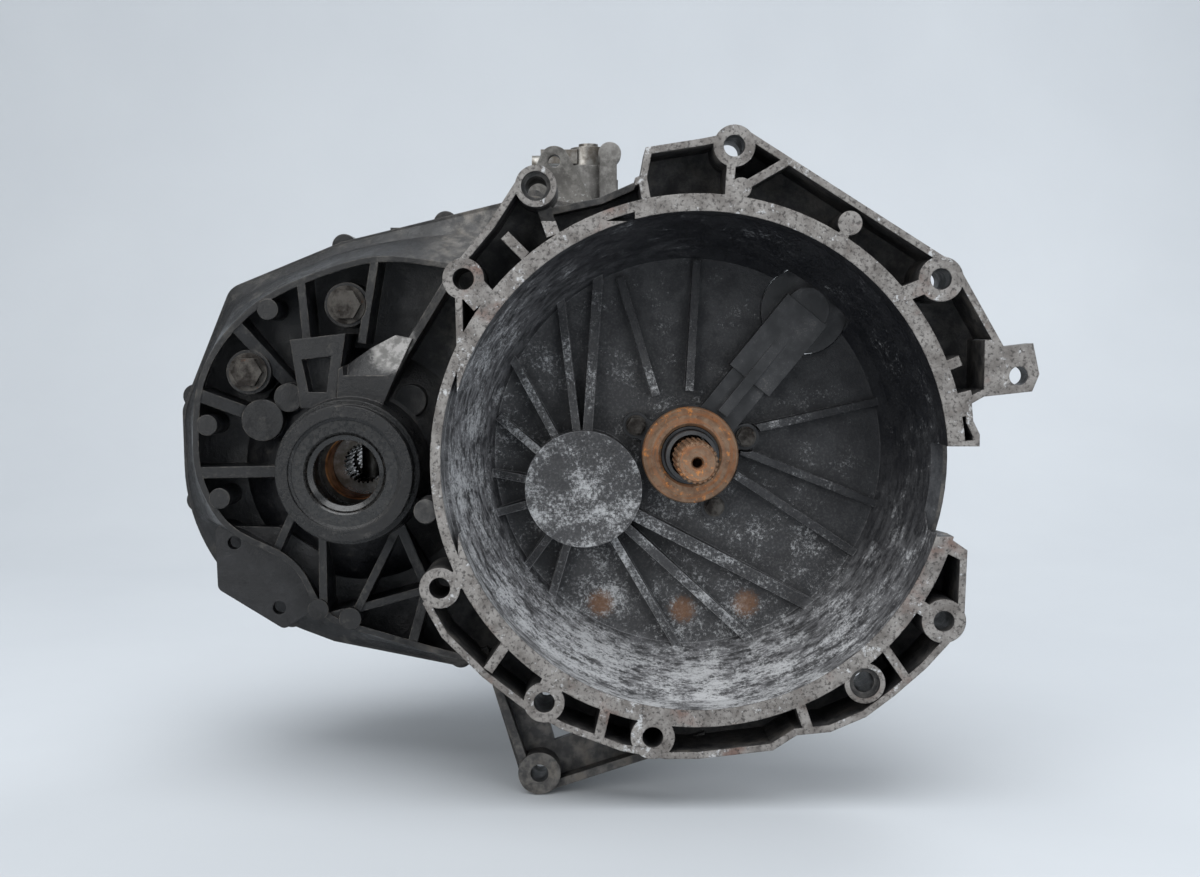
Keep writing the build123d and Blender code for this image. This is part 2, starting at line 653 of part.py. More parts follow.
def flange_block():
    """The engine flange round the bell: a rim and an outer wall with deep pockets between them."""
    plate = polygon(FLANGE_OUTLINE)
    walls = stand(plate, 0, FLANGE_DEPTH)
    inner = stand(offset(plate, amount=-WALL, kind=Kind.INTERSECTION), -1, FLANGE_DEPTH - 4)
    keep = [rod(INPUT, -2, FLANGE_DEPTH, RIM_R)]
    keep += [rod((x, z), -2, FLANGE_DEPTH, r) for x, z, r in ENGINE_BOLTS.values()]
    keep += [rib(p, q, -2, -2, FLANGE_DEPTH, t) for p, q, t in FLANGE_WEBS]
    keep += [rod((24, 159), -2, FLANGE_DEPTH, 6), rod((87, 139), -2, FLANGE_DEPTH, 7)]
    keep.append(block(166, 200, -2, FLANGE_DEPTH, 38, 72))
    for solid in keep:
        inner -= solid
    walls -= inner
    walls -= block(-100, -37, -1, 24, 140, 180) - rod(ENGINE_BOLTS["b"][:2], -2, 30, 12)
    walls -= block(170, 200, 14, FLANGE_DEPTH + 1, 30, 80)
    bosses = [rod((x, z), 0, FLANGE_DEPTH, r) for x, z, r in ENGINE_BOLTS.values()]
    lug = rod((-159, -28), 2, 26, 7)
    return merged([walls, *bosses, lug])


def lower_lug():
    """The bracket below the bell with its own fixing hole."""
    web = stand(hull([(*LOWER_LUG, LUG_R), (-128, -112, 4), (-104, -120, 4)]), 42, 48)
    low = stand(hull([(*LOWER_LUG, LUG_R), (10, -166, 6), (-20, -160, 6)]), 42, 48)
    edge_a = rib(along(LOWER_LUG, 160, 9), (-128, -116), 32, 34, 60, 5)
    edge_b = rib(along(LOWER_LUG, 285, 10), (8, -171), 32, 34, 60, 5)
    boss = rod(LOWER_LUG, 30, 62, LUG_R)
    return [web, low, edge_a, edge_b, boss]


def by_angle(wire):
    """Points of a closed (x, z) wire at even angles round the outline's centre."""
    cx, cz = OUTLINE_CENTRE
    samples = []
    for i in range(20 * OUTLINE_POINTS):
        p = wire.position_at(i / (20 * OUTLINE_POINTS))
        samples.append((degrees(atan2(p.Y - cz, p.X - cx)) % 360, p.X, p.Y))
    points = []
    for k in range(OUTLINE_POINTS):
        angle = 360 * k / OUTLINE_POINTS
        nearest = min(samples, key=lambda s: abs((s[0] - angle + 180) % 360 - 180))
        points.append(nearest[1:])
    return points


def drawn_in(points, inset):
    """The points of a closed outline moved inwards along its normals."""
    moved = []
    for k, (x, z) in enumerate(points):
        (x0, z0), (x1, z1) = points[k - 1], points[(k + 1) % len(points)]
        length = hypot(x1 - x0, z1 - z0)
        moved.append((x - (z1 - z0) / length * inset, z + (x1 - x0) / length * inset))
    return moved


def side_outlines(inset=0):
    """The side chamber's outlines: at its front edge, at its floor and where it meets the gear case."""
    front = by_angle(Spline(*FENCE_POINTS, periodic=True))
    joint = drawn_in(by_angle(hull(JOINT_CIRCLES).face().outer_wire()), JOINT_STEP)
    middle = []
    for k, ((x0, z0), (x1, z1)) in enumerate(zip(front, joint)):
        angle = 360 * k / OUTLINE_POINTS
        share = 0.12 if HELD_SECTOR[0] < angle < HELD_SECTOR[1] else 0.6
        middle.append((x0 + (x1 - x0) * share, z0 + (z1 - z0) * share))
    return [drawn_in(points, inset) for points in (front, middle, joint)]


def side_shell(y0, y1, y2, inset=0):
    """The side chamber as a solid block, smooth all round, through its three outlines."""
    faces = []
    for y, points in zip((y0, y1, y2), side_outlines(inset)):
        faces.append(make_face(Spline(*[(x, y, z) for x, z in points], periodic=True)))
    return loft(faces[:2], ruled=True) + loft(faces[1:], ruled=True)


def diff_side():
    """The open-fronted chamber beside the bell: floor, fence and the ribs up to the axle hub."""
    outline = hull(JOINT_CIRCLES)
    flare = FLOOR_BACK + 8
    solid = side_shell(FENCE_FRONT, FENCE_BACK, flare)
    fence = solid - side_shell(FENCE_FRONT - 1, FENCE_BACK, flare + 1, WALL)
    front = fence & block(-340, -96, FENCE_FRONT - 1, FLOOR_BACK, -160, 200)
    back = fence & block(-340, 100, FLOOR_BACK - 1, flare, -160, 200)
    rear = stand(outline, flare - 1, JOINT) - stand(offset(outline, amount=-WALL), flare - 2, JOINT + 1)
    plate = solid & block(-340, 100, FLOOR_BACK, PLATE_BACK, -160, 200)
    lip = stand(offset(outline, amount=3), JOINT - 9, JOINT) - stand(offset(outline, amount=-WALL), 120, 150)
    hub_tube = rod(DIFF, DIFF_HUB_FRONT, PLATE_BACK, 41)
    cone = turned(DIFF, [(0, PLATE_BACK), (75, FLOOR_BACK), (60, 78), (47, 66), (44, 34), (0, 34)])
    shapes = [front, back, rear, plate, lip, hub_tube, cone]
    bound = side_shell(FENCE_FRONT, FENCE_BACK, flare, 1) + hub_tube + cone
    for start, end, front_in, front_out, thickness in DIFF_RIBS:
        shapes.append(rib(start, end, front_in, front_out, PLATE_BACK - 1, thickness) & bound)
    hub_block = stand(polygon(HUB_BLOCK), HUB_BLOCK_FRONT, PLATE_BACK)
    hub_block -= stand(polygon(HUB_BLOCK_RECESS), HUB_BLOCK_FRONT - 1, HUB_BLOCK_FRONT + 14)
    wedge = stand(polygon(HUB_WEDGE), HUB_WEDGE_FRONT, PLATE_BACK)
    slope = Pos(-186, HUB_WEDGE_FRONT, 74) * Rot(-32, 0, -12) * Box(60, 24, 40)
    shapes += [hub_block, wedge - slope]
    shapes.append(stand(hull(SIDE_PLATE), *SIDE_PLATE_Y))
    shapes += [rod(place, 68, PLATE_BACK, 14) for place in HOUSING_BOLT_PLACES]
    shapes += [rod((x, z), y, PLATE_BACK, r) for x, z, y, r in DIFF_STUDS]
    outside = rod(INPUT, 0, FLOOR_FRONT + 1, 132)
    return [shape - outside for shape in shapes]


def clutch_housing():
    bell = turned(INPUT, BELL_PROFILE)
    shapes = [bell, flange_block() - rod(INPUT, -1, 80, 146), *lower_lug(), *diff_side()]
    shapes.append(rod(OUTPUT, BLISTER_FRONT, FLOOR_BACK, BLISTER_R))
    shapes.append(rod(OUTPUT, FLOOR_BACK, PLATE_BACK + 2, 36))
    shapes.append(rod(INPUT, FLOOR_BACK, BEARING_Y["input"][0] + INPUT_BEARING[2], 31))
    for angle, reach, thickness in BLISTER_RIBS:
        start, end = along(OUTPUT, angle, BLISTER_R - 3), along(OUTPUT, angle, reach)
        shapes.append(rib(start, end, 68, 82, FLOOR_BACK - 1, thickness))
    for start, end in HUB_RIBS:
        shapes.append(rib(start, end, 72, 82, FLOOR_BACK - 1, 5))
    for axis in (RAIL_12, RAIL_34, RAIL_5R):
        shapes.append(rod(axis, PLATE_BACK - 1, 126, 11.5))
    for place in CASE_BOLT_PLACES:
        shapes.append(rod(place, JOINT - 22, JOINT, BOLT_BOSS_R) - rod(DIFF, 90, 150, 112.5))
    body = merged(shapes)
    y0 = BEARING_Y["diff"][0]
    body -= turned(DIFF, [
        (0, 20), (34, 20), (34, DIFF_HUB_FRONT + 2), (32, DIFF_HUB_FRONT + 3), (32, 36), (25, 36),
        (25, y0 - 4), (33, y0 - 4), (33, y0), (36, y0), (36, PLATE_BACK + 1), (0, PLATE_BACK + 1),
    ])
    body -= rod(INPUT, 80, BEARING_Y["input"][0], 17)
    body -= rod(INPUT, BEARING_Y["input"][0], 110, 26)
    body -= rod(OUTPUT, BEARING_Y["output"][0] - 3, BEARING_Y["output"][0], 26)
    body -= rod(OUTPUT, BEARING_Y["output"][0], 100, 31)
    body -= rod(PIPE_HOLE, 70, 100, PIPE_HOLE_R)
    for axis in (RAIL_12, RAIL_34, RAIL_5R):
        body -= rod(axis, PLATE_BACK + 1, 127, RAIL_R + 0.5)
    for x, z, _ in ENGINE_BOLTS.values():
        body -= rod((x, z), -1, FLANGE_DEPTH + 1, BOLT_HOLE_R)
    body -= rod(TAB_HOLE, -1, FLANGE_DEPTH, 5.5)
    body -= rod(ENGINE_BOLTS["b"][:2], -1, 5, 8.5)
    body -= rod(ENGINE_BOLTS["g"][:2], -1, 4, 9)
    body -= rod(LOWER_LUG, 20, 70, LUG_HOLE_R)
    for place in CASE_BOLT_PLACES:
        body -= rod(place, JOINT - 18, JOINT + 1, 4)
    for place in HOUSING_BOLT_PLACES:
        body -= rod(place, 60, 90, 6) + rod(place, 50, 68, 13)
    for place in release_ears():
        body -= rod(place, 80, 91, 3) + rod(place, 60, FLOOR_FRONT, 9.5)
    body -= rod(INPUT, 60, FLOOR_FRONT, 32)
    body -= rib(along(INPUT, ARM_ANGLE, 20), PIPE_HOLE, 60, 60, FLOOR_FRONT, 34)
    for place in PLATE_HOLES:
        body -= rod(place, SIDE_PLATE_Y[0] - 1, SIDE_PLATE_Y[1] + 1, 4.2)
    body -= block(140, 175, -1, 30, -43, 10)
    return body


def release_ears():
    return [along(INPUT, angle, 38) for angle in (16, 152, 296)]


# ---- castings: gear case and end cover ----

def gear_case():
    joint, gears = hull(JOINT_CIRCLES), hull(GEAR_CIRCLES)
    x0, x1, y0, y1 = TURRET
    shapes = [
        stand(offset(joint, amount=3), JOINT, JOINT + 9),
        turned(DIFF, [
            (0, JOINT), (117.5, JOINT), (117.5, 148), (108, 162), (91, 176), (68, 187), (42, 194),
            (41, 226), (0, 226),
        ]),
        loft([place_outline(joint, JOINT + 8), place_outline(gears, 186)], ruled=True),
        stand(gears, JOINT, CASE_END),
        stand(offset(gears, amount=3), CASE_END - 9, CASE_END),
        block(x0, x1, y0, y1, 60, TURRET_TOP),
        stand(hull([(*LIFTING_EYE, 10), (-104, 158, 8), (-62, 152, 8)]), JOINT + 2, JOINT + 11),
    ]
    for angle in range(60, 300, 30):
        shapes.append(rib(along(DIFF, angle, 30), along(DIFF, angle, 116), 150, 150, 222, 5) & rib_bound())
    shapes += [rod(place, JOINT, JOINT + 20, BOLT_BOSS_R) for place in CASE_BOLT_PLACES]
    shapes += [rod(place, CASE_END - 26, CASE_END, COVER_BOSS_R) for place in COVER_BOLT_PLACES]
    shapes += [post(x, y, TURRET_TOP - 22, TURRET_TOP, 7) for x, y in tower_bolt_places()]
    shapes += [post(*BREATHER, 50, BREATHER_TOP, 9), post(*SENSOR, 50, SENSOR_TOP, 13)]
    shapes += [post(*DRAIN, DRAIN_FOOT, -70, 12)]
    body = merged(shapes)
    inner_gears = offset(gears, amount=-WALL)
    body -= turned(DIFF, [
        (0, 139), (113.5, 139), (113.5, 147), (104, 160), (88, 172), (66, 182), (36, 182), (36, 200), (33, 200),
        (33, 204), (25, 204), (25, 210), (32, 210), (32, 227), (0, 227),
    ])
    inner_joint = offset(joint, amount=-WALL)
    body -= stand(inner_joint, JOINT - 1, JOINT + 8)
    body -= loft([place_outline(inner_joint, JOINT + 7.9), place_outline(inner_gears, 184)], ruled=True)
    body -= stand(inner_gears, JOINT - 1, REAR_WALL)
    body -= block(x0 + 5, x1 - 5, y0 + 5, y1 - 5, 60, TURRET_TOP + 1)
    rear_y = BEARING_Y["input"][1]
    body -= rod(INPUT, REAR_WALL - 1, rear_y + INPUT_BEARING[2], 26) + rod(INPUT, 270, CASE_END + 1, 19)
    body -= rod(OUTPUT, REAR_WALL - 1, rear_y + OUTPUT_BEARING[2], 31) + rod(OUTPUT, 270, CASE_END + 1, 20)
    for axis in (RAIL_12, RAIL_34):
        body -= rod(axis, REAR_WALL - 1, 276, RAIL_R + 0.5)
    body -= rod(RAIL_5R, REAR_WALL - 1, CASE_END + 1, RAIL_R + 0.5)
    body -= rod(LIFTING_EYE, 130, 160, 4.2)
    for place in CASE_BOLT_PLACES:
        body -= rod(place, JOINT - 1, JOINT + 21, BOLT_R) + rod(place, JOINT + 20, JOINT + 48, 8.2)
    for place in COVER_BOLT_PLACES:
        body -= rod(place, CASE_END - 22, CASE_END + 1, BOLT_R)
    for x, y in tower_bolt_places():
        body -= post(x, y, TURRET_TOP - 16, TURRET_TOP + 1, 3)
    body -= post(*BREATHER, 50, 120, 5)
    body -= post(*SENSOR, 60, 200, 8) + post(*SENSOR, SENSOR_TOP, 200, 14)
    body -= post(*DRAIN, -120, -70, 7)
    body -= bar(*SWITCH, -140, -114, 6) + bar(*SWITCH, -150, -131, 14)
    return body


def place_outline(sketch, y):
    return (Pos(0, y, 0) * Rot(90, 0, 0) * sketch).face()


def rib_bound():
    """The cone under which the case's ribs behind the differential stay."""
    return turned(DIFF, [(0, JOINT), (119, JOINT), (119, 156), (60, 216), (46, 224), (0, 224)])


def end_cover_gasket():
    gears = hull(GEAR_CIRCLES)
    ring = stand(offset(gears, amount=3), CASE_END, CASE_END + GASKET)
    for place in COVER_BOLT_PLACES:
        ring += rod(place, CASE_END, CASE_END + GASKET, COVER_BOSS_R)
    ring -= stand(offset(gears, amount=-WALL), CASE_END - 1, CASE_END + 2)
    for place in COVER_BOLT_PLACES:
        ring -= rod(place, CASE_END - 1, CASE_END + 2, BOLT_R)
    return ring


def end_cover():
    gears = hull(GEAR_CIRCLES)
    front = CASE_END + GASKET
    shell = stand(gears, front, COVER_END)
    shell = fillet(shell.faces().sort_by(Axis.Y)[-1].edges(), 9)
    body = merged([shell, stand(offset(gears, amount=3), front, front + 9)])
    for place in COVER_BOLT_PLACES:
        body += rod(place, front, front + 12, COVER_BOSS_R)
    body -= stand(offset(gears, amount=-WALL), front - 1, COVER_END - 5)
    body += rod(IDLER, COVER_END - 12, COVER_END - 4, 14)
    body -= rod(IDLER, COVER_END - 16, COVER_END - 3, 9)
    for place in COVER_BOLT_PLACES:
        body -= rod(place, front - 1, front + 20, BOLT_R) + rod(place, front + 12, front + 24, 8.2)
    body -= rod(FILLER, COVER_END - 8, COVER_END + 5, 9)
    for z in (-46, -16, 24):
        body += block(-100, 20, COVER_END - 1, COVER_END + 3, z - 2.5, z + 2.5)
    return body


# ---- fasteners, seals and fittings ----

def hex_bolt(axis, y_tip, y_seat, shank_r, across_flats, head, direction=1, flange_r=None):
    """A bolt whose shank runs from y_tip to y_seat and whose head stands beyond the seat."""
    ends = sorted((y_tip, y_seat))
    head_ends = sorted((y_seat, y_seat + direction * head))
    shapes = [rod(axis, *ends, shank_r), hexagon(axis, *head_ends, across_flats)]
    if flange_r:
        shapes.append(rod(axis, *sorted((y_seat, y_seat + direction * 2)), flange_r))
    return merged(shapes)


def case_bolts():
    return group([hex_bolt(place, JOINT - 17, JOINT + 20, BOLT_R, 12, 6, 1, 7.5) for place in CASE_BOLT_PLACES])


def cover_bolts():
    seat = CASE_END + GASKET + 12
    return group([hex_bolt(place, CASE_END - 20, seat, BOLT_R, 12, 6, 1, 7.5) for place in COVER_BOLT_PLACES])


def housing_bolts():
    return group([hex_bolt(place, 89, 68, 6, 17, 7, -1, 12) for place in HOUSING_BOLT_PLACES])


def diff_seal(y0, y1):
    """A lip seal: a case, a lip that runs on the drive shaft, and a dust lip."""
    mid = (y0 + y1) / 2
    return turned(DIFF, [
        (32, y0), (32, y1), (26, y1), (26, mid + 2), (20.5, mid + 3), (20, mid + 1), (20, mid - 1), (23, mid - 3),
        (24, y0 + 1), (25, y0),
    ])


def upright_hexagon(x, y, z0, z1, across_flats):
    return Pos(x, y, z0) * extrude(RegularPolygon(across_flats / 2, 6, major_radius=False), amount=z1 - z0)


def oil_plugs():
    filler = merged([
        rod(FILLER, COVER_END - 5, COVER_END, 9), rod(FILLER, COVER_END, COVER_END + 2, 13),
        hexagon(FILLER, COVER_END + 2, COVER_END + 8, 17),
    ])
    drain = merged([
        post(*DRAIN, DRAIN_FOOT, -81.5, 7), post(*DRAIN, DRAIN_FOOT - 2, DRAIN_FOOT, 11),
        upright_hexagon(*DRAIN, DRAIN_FOOT - 8, DRAIN_FOOT - 2, 17),
    ])
    return group([filler, drain])


def breather():
    return merged([
        post(*BREATHER, 80, BREATHER_TOP, 5), upright_hexagon(*BREATHER, BREATHER_TOP, BREATHER_TOP + 4, 14),
        post(*BREATHER, BREATHER_TOP + 4, BREATHER_TOP + 9, 4),
        post(*BREATHER, BREATHER_TOP + 9, BREATHER_TOP + 15, 8),
    ])


def speed_sensor():
    x, y = SENSOR
    return merged([
        post(x, y, 80, SENSOR_TOP, 8), post(x, y, SENSOR_TOP, SENSOR_TOP + 4, 11),
        post(x, y, SENSOR_TOP, SENSOR_TOP + 20, 9),
        block(x - 9, x + 9, y, y + 26, SENSOR_TOP + 10, SENSOR_TOP + 22),
    ])


def reverse_light_switch():
    y, z = SWITCH
    flats = extrude(RegularPolygon(12, 6, major_radius=False), amount=8)
    hexagonal = Pos(-131, y, z) * Rot(0, -90, 0) * flats
    return merged([bar(y, z, -139, -115, 6), hexagonal, bar(y, z, -158, -138, 9)])


# ---- clutch release ----

def slave_cylinder():
    """The concentric cylinder round the input shaft, with its feed arm to the hole in the housing."""
    arm_end = along(INPUT, ARM_ANGLE, hypot(*PIPE_HOLE))
    shapes = [
        rod(INPUT, 79, FLOOR_FRONT, 31), rod(INPUT, 72, 80, 27.5),
        rib(along(INPUT, ARM_ANGLE, 20), arm_end, 75, 75, 84, 26),
        rib(along(INPUT, ARM_ANGLE, 33), arm_end, 70, 71, 76, 7),
        rib(along((0, 0), ARM_ANGLE, 60), arm_end, 72, 70, 84, 32),
        rod(PIPE_HOLE, 72, 104, 14), rod(PIPE_HOLE, FLOOR_FRONT - 1.5, 90, PIPE_HOLE_R - 0.4),
    ]
    for place in release_ears():
        shapes.append(rod(place, 79, FLOOR_FRONT, 8.5))
        shapes.append(rib(along(INPUT, 0, 0), place, 79, 79, FLOOR_FRONT, 14))
    body = merged(shapes)
    body -= rod(INPUT, 60, 79, 23.5) + rod(INPUT, 60, 90, GUIDE_R)
    for place in release_ears():
        body -= rod(place, 70, 90, 3)
    body -= rod(PIPE_HOLE, 86, 110, 6)
    guide = turned(INPUT, [(13.6, 50), (GUIDE_R, 51), (GUIDE_R, 90), (13.6, 90)])
    return group([body, guide])


def slave_bolts():
    return group([hex_bolt(place, 90, 79, 3, 10, 4.5, -1, 6.5) for place in release_ears()])


def release_bearing_carrier():
    inner = GUIDE_R + 0.35
    return turned(INPUT, [
        (inner, 61), (18, 61), (18, 71.2), (22.9, 71.2), (22.9, 78), (inner, 78),
    ])


def release_bearing_ring():
    return turned(INPUT, [
        (18.4, 63), (20, 62), (25, 62.6), (29.5, 62), (30.3, 63), (30.3, 69.5), (29.5, 70.6), (19, 70.6),
        (18.4, 70),
    ])


# ---- gear selection ----

def tower_bolt_places():
    x0, x1, y0, y1 = TURRET
    return [(x, y) for x in (x0 + 2.5, x1 - 2.5) for y in (y0 + 2.5, y1 - 2.5)]


def shift_tower():
    x, y = TOWER
    x0, x1, y0, y1 = TURRET
    shapes = [
        block(x0, x1, y0, y1, TURRET_TOP, TURRET_TOP + 7),
        post(x, y, TURRET_TOP + 6, 196, 20),
        block(x - 21, x + 21, y - 17, y + 18, TURRET_TOP + 6, 186),
        block(x + 8, x + 20, y - 28, y - 15, TURRET_TOP, 204),
        rod((x + 15, 203), y - 28, y - 15, 8),
    ]
    for bx, by in tower_bolt_places():
        shapes.append(post(bx, by, TURRET_TOP, TURRET_TOP + 9, 7))
    shapes.append(block(x - 16, x + 16, y, CRANK_PIVOT[0] + 6, CRANK_PIVOT[1] - 8, CRANK_PIVOT[1] + 8))
    shapes.append(crank_mount())
    body = merged(shapes)
    body -= post(x, y, 140, 200, 7.4)
    for bx, by in tower_bolt_places():
        body -= post(bx, by, 140, 165, 3)
    return body


def tower_bolts():
    bolts = []
    for x, y in tower_bolt_places():
        seat = TURRET_TOP + 9
        head = Pos(x, y, seat) * extrude(RegularPolygon(5, 6, major_radius=False), amount=5)
        bolts.append(merged([post(x, y, TURRET_TOP - 15, seat, 3), post(x, y, seat, seat + 1.5, 6.5), head]))
    return bolts


def selector_shaft():
    x, y = TOWER
    finger = block(-84, x, y - 2.5, y + 2.5, JAW_LEVELS["34"] - 2.5, JAW_LEVELS["34"] + 2.5)
    collar = post(x, y, 98, 110, 11)
    return merged([post(x, y, 86, 213, 7), collar, finger])


def crank_mount():
    """The pivot pin for the select lever, standing out from the tower's left side."""
    return bar(*CRANK_PIVOT, TOWER[0] - 45, TOWER[0] - 15, 5)


def select_lever():
    """A bell crank beside the tower: one arm takes the cable, the other faces the selector shaft."""
    y, z = CRANK_PIVOT
    x0, x1 = TOWER[0] - 42, TOWER[0] - 36
    shapes = [
        bar(y, z, x0 - 2, x1 + 2, 11), bar(y + 44, z, x0, x1, 8), bar(y, z + 24, x0, x1, 8),
        block(x0, x1, y, y + 44, z - 6, z + 6), block(x0, x1, y - 6, y + 6, z, z + 24),
        bar(y + 44, z, x0 - 10, x0, 5),
    ]
    return merged(shapes) - bar(y, z, x0 - 3, x1 + 3, 5 + RUNNING)


def shift_lever():
    x, y = TOWER
    arm = block(x - 6, x + 6, y, y + 58, 198, 204)
    eye = post(x, y + 58, 198, 204, 10)
    boss = post(x, y, 197, 210, 13)
    weight = block(x - 34, x - 8, y - 12, y + 12, 198, 208)
    pin = post(x, y + 58, 204, 213, 5)
    return merged([arm, eye, boss, weight, pin]) - post(x, y, 190, 220, 7)


def add_castings():
    add("clutch_housing", clutch_housing())
    add("gear_case", gear_case())
    add("end_cover_gasket", end_cover_gasket())
    add("end_cover", end_cover())


def add_fittings():
    add("case_bolts", case_bolts())
    add("cover_bolts", cover_bolts())
    add("housing_bolts", housing_bolts())
    add("tower_bolts", group(tower_bolts()))
    add("diff_seal_front", diff_seal(DIFF_HUB_FRONT + 3, 36))
    add("diff_seal_rear", diff_seal(210, 222))
    add("slave_cylinder", slave_cylinder())
    add("slave_bolts", slave_bolts())
    add("release_bearing_carrier", release_bearing_carrier())
    add("release_bearing_ring", release_bearing_ring())
    add("shift_tower", shift_tower())
    add("selector_shaft", selector_shaft())
    add("shift_lever", shift_lever())
    add("select_lever", select_lever())
    add("oil_plugs", oil_plugs())
    add("breather", breather())
    add("speed_sensor", speed_sensor())
    add("reverse_light_switch", reverse_light_switch())
    add("reverse_idler_shaft", rod(IDLER, 327, COVER_END - 3, 9) + rod(IDLER, 325, 328.4, 12))


# ---- writing ----

PARTS = {}


def add(name, shape):
    PARTS[name] = shape


def add_gear_train():
    add("input_shaft", input_shaft())
    add("gear_5_drive", gear_5_drive())
    add("gear_3_drive", free_gear(driving_gear("3"), "34", INPUT, -1, 15))
    add("gear_4_drive", free_gear(driving_gear("4"), "34", INPUT, 1, 15))
    add("output_shaft", output_shaft())
    for speed, synchro, end, bore in (("1", "12", -1, 19), ("2", "12", 1, 19), ("5", "5r", -1, 14)):
        add(f"gear_{speed}_driven", free_gear(driven_gear(speed), synchro, OUTPUT, end, bore))
    add("gear_3_driven", fixed_driven_gear("3"))
    add("gear_4_driven", fixed_driven_gear("4"))
    add("gear_r_driven", gear_r_driven())
    add("reverse_idler_gear", reverse_idler_gear())
    for synchro, axis, bore in (("12", OUTPUT, 19), ("34", INPUT, 15), ("5r", OUTPUT, 14)):
        add(f"hub_{synchro}", hub(synchro, axis, bore))
        add(f"sleeve_{synchro}", sleeve(synchro, axis))
    add("baulk_rings_input", group([baulk_ring("34", INPUT, end) for end in (-1, 1)]))
    add("baulk_rings_output", group([baulk_ring(s, OUTPUT, end) for s in ("12", "5r") for end in (-1, 1)]))
    add("fork_12", group(fork("12", OUTPUT, RAIL_12, (112, 266))))
    add("fork_34", group(fork("34", INPUT, RAIL_34, (112, 266))))
    add("fork_5r", group(fork("5r", OUTPUT, RAIL_5R, (112, 330))))


def add_bearings():
    for name, axis, size in (("input", INPUT, INPUT_BEARING), ("output", OUTPUT, OUTPUT_BEARING)):
        pairs = [ball_bearing(axis, y, size) for y in BEARING_Y[name]]
        add(f"{name}_bearing_outers", group([outer for outer, _ in pairs]))
        add(f"{name}_bearing_inners", group([piece for _, inners in pairs for piece in inners]))
    pairs = [ball_bearing(DIFF, y, DIFF_BEARING) for y in BEARING_Y["diff"]]
    add("diff_bearing_cups", group([outer for outer, _ in pairs]))
    add("diff_bearing_cones", group([piece for _, inners in pairs for piece in inners]))


def add_differential():
    add("ring_gear", ring_gear())
    add("ring_gear_bolts", ring_gear_bolts())
    add("diff_carrier", diff_carrier())
    add("diff_cross_pin", diff_cross_pin())
    add("side_gear_front", side_gear(Rot(90, 0, 0)))
    add("side_gear_rear", side_gear(Rot(-90, 0, 0)))
    add("diff_pinion_top", diff_pinion(Rot(0, 0, 0)))
    add("diff_pinion_bottom", diff_pinion(Rot(180, 0, 0)))


add_gear_train()
add_bearings()
add_differential()
add_castings()
add_fittings()

os.makedirs("parts", exist_ok=True)
for name, shape in PARTS.items():
    export_step(shape, f"parts/{name}.step")
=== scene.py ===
"""Looks of the manual transmission: weathered castings, rusty and oily steel, black plastic."""

import json
import math

import bpy
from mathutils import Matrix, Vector


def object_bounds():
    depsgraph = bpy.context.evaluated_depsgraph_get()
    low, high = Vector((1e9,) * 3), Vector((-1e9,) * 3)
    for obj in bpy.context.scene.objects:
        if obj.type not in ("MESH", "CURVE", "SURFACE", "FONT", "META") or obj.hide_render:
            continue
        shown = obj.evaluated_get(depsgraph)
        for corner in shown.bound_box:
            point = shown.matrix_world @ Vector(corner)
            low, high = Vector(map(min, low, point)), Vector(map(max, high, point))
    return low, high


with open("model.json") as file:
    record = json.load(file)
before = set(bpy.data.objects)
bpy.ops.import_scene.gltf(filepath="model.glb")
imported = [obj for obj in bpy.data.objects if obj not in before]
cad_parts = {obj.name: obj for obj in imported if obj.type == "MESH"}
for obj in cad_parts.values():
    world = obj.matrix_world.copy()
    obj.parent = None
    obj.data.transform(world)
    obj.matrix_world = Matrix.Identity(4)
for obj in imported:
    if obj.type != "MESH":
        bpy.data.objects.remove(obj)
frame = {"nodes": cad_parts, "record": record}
cad_box = [list(map(float, corner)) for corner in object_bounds()]
nodes = frame["nodes"]
scene = bpy.context.scene

BEVEL_SAMPLES = 4
AO_SAMPLES = 4
EDGE_TURN = (0.03, 0.3)  # how far the softened normal turns at an edge, as 1 - cosine
EDGE_LIFT = 1.6  # how much brighter worn edges of steel are


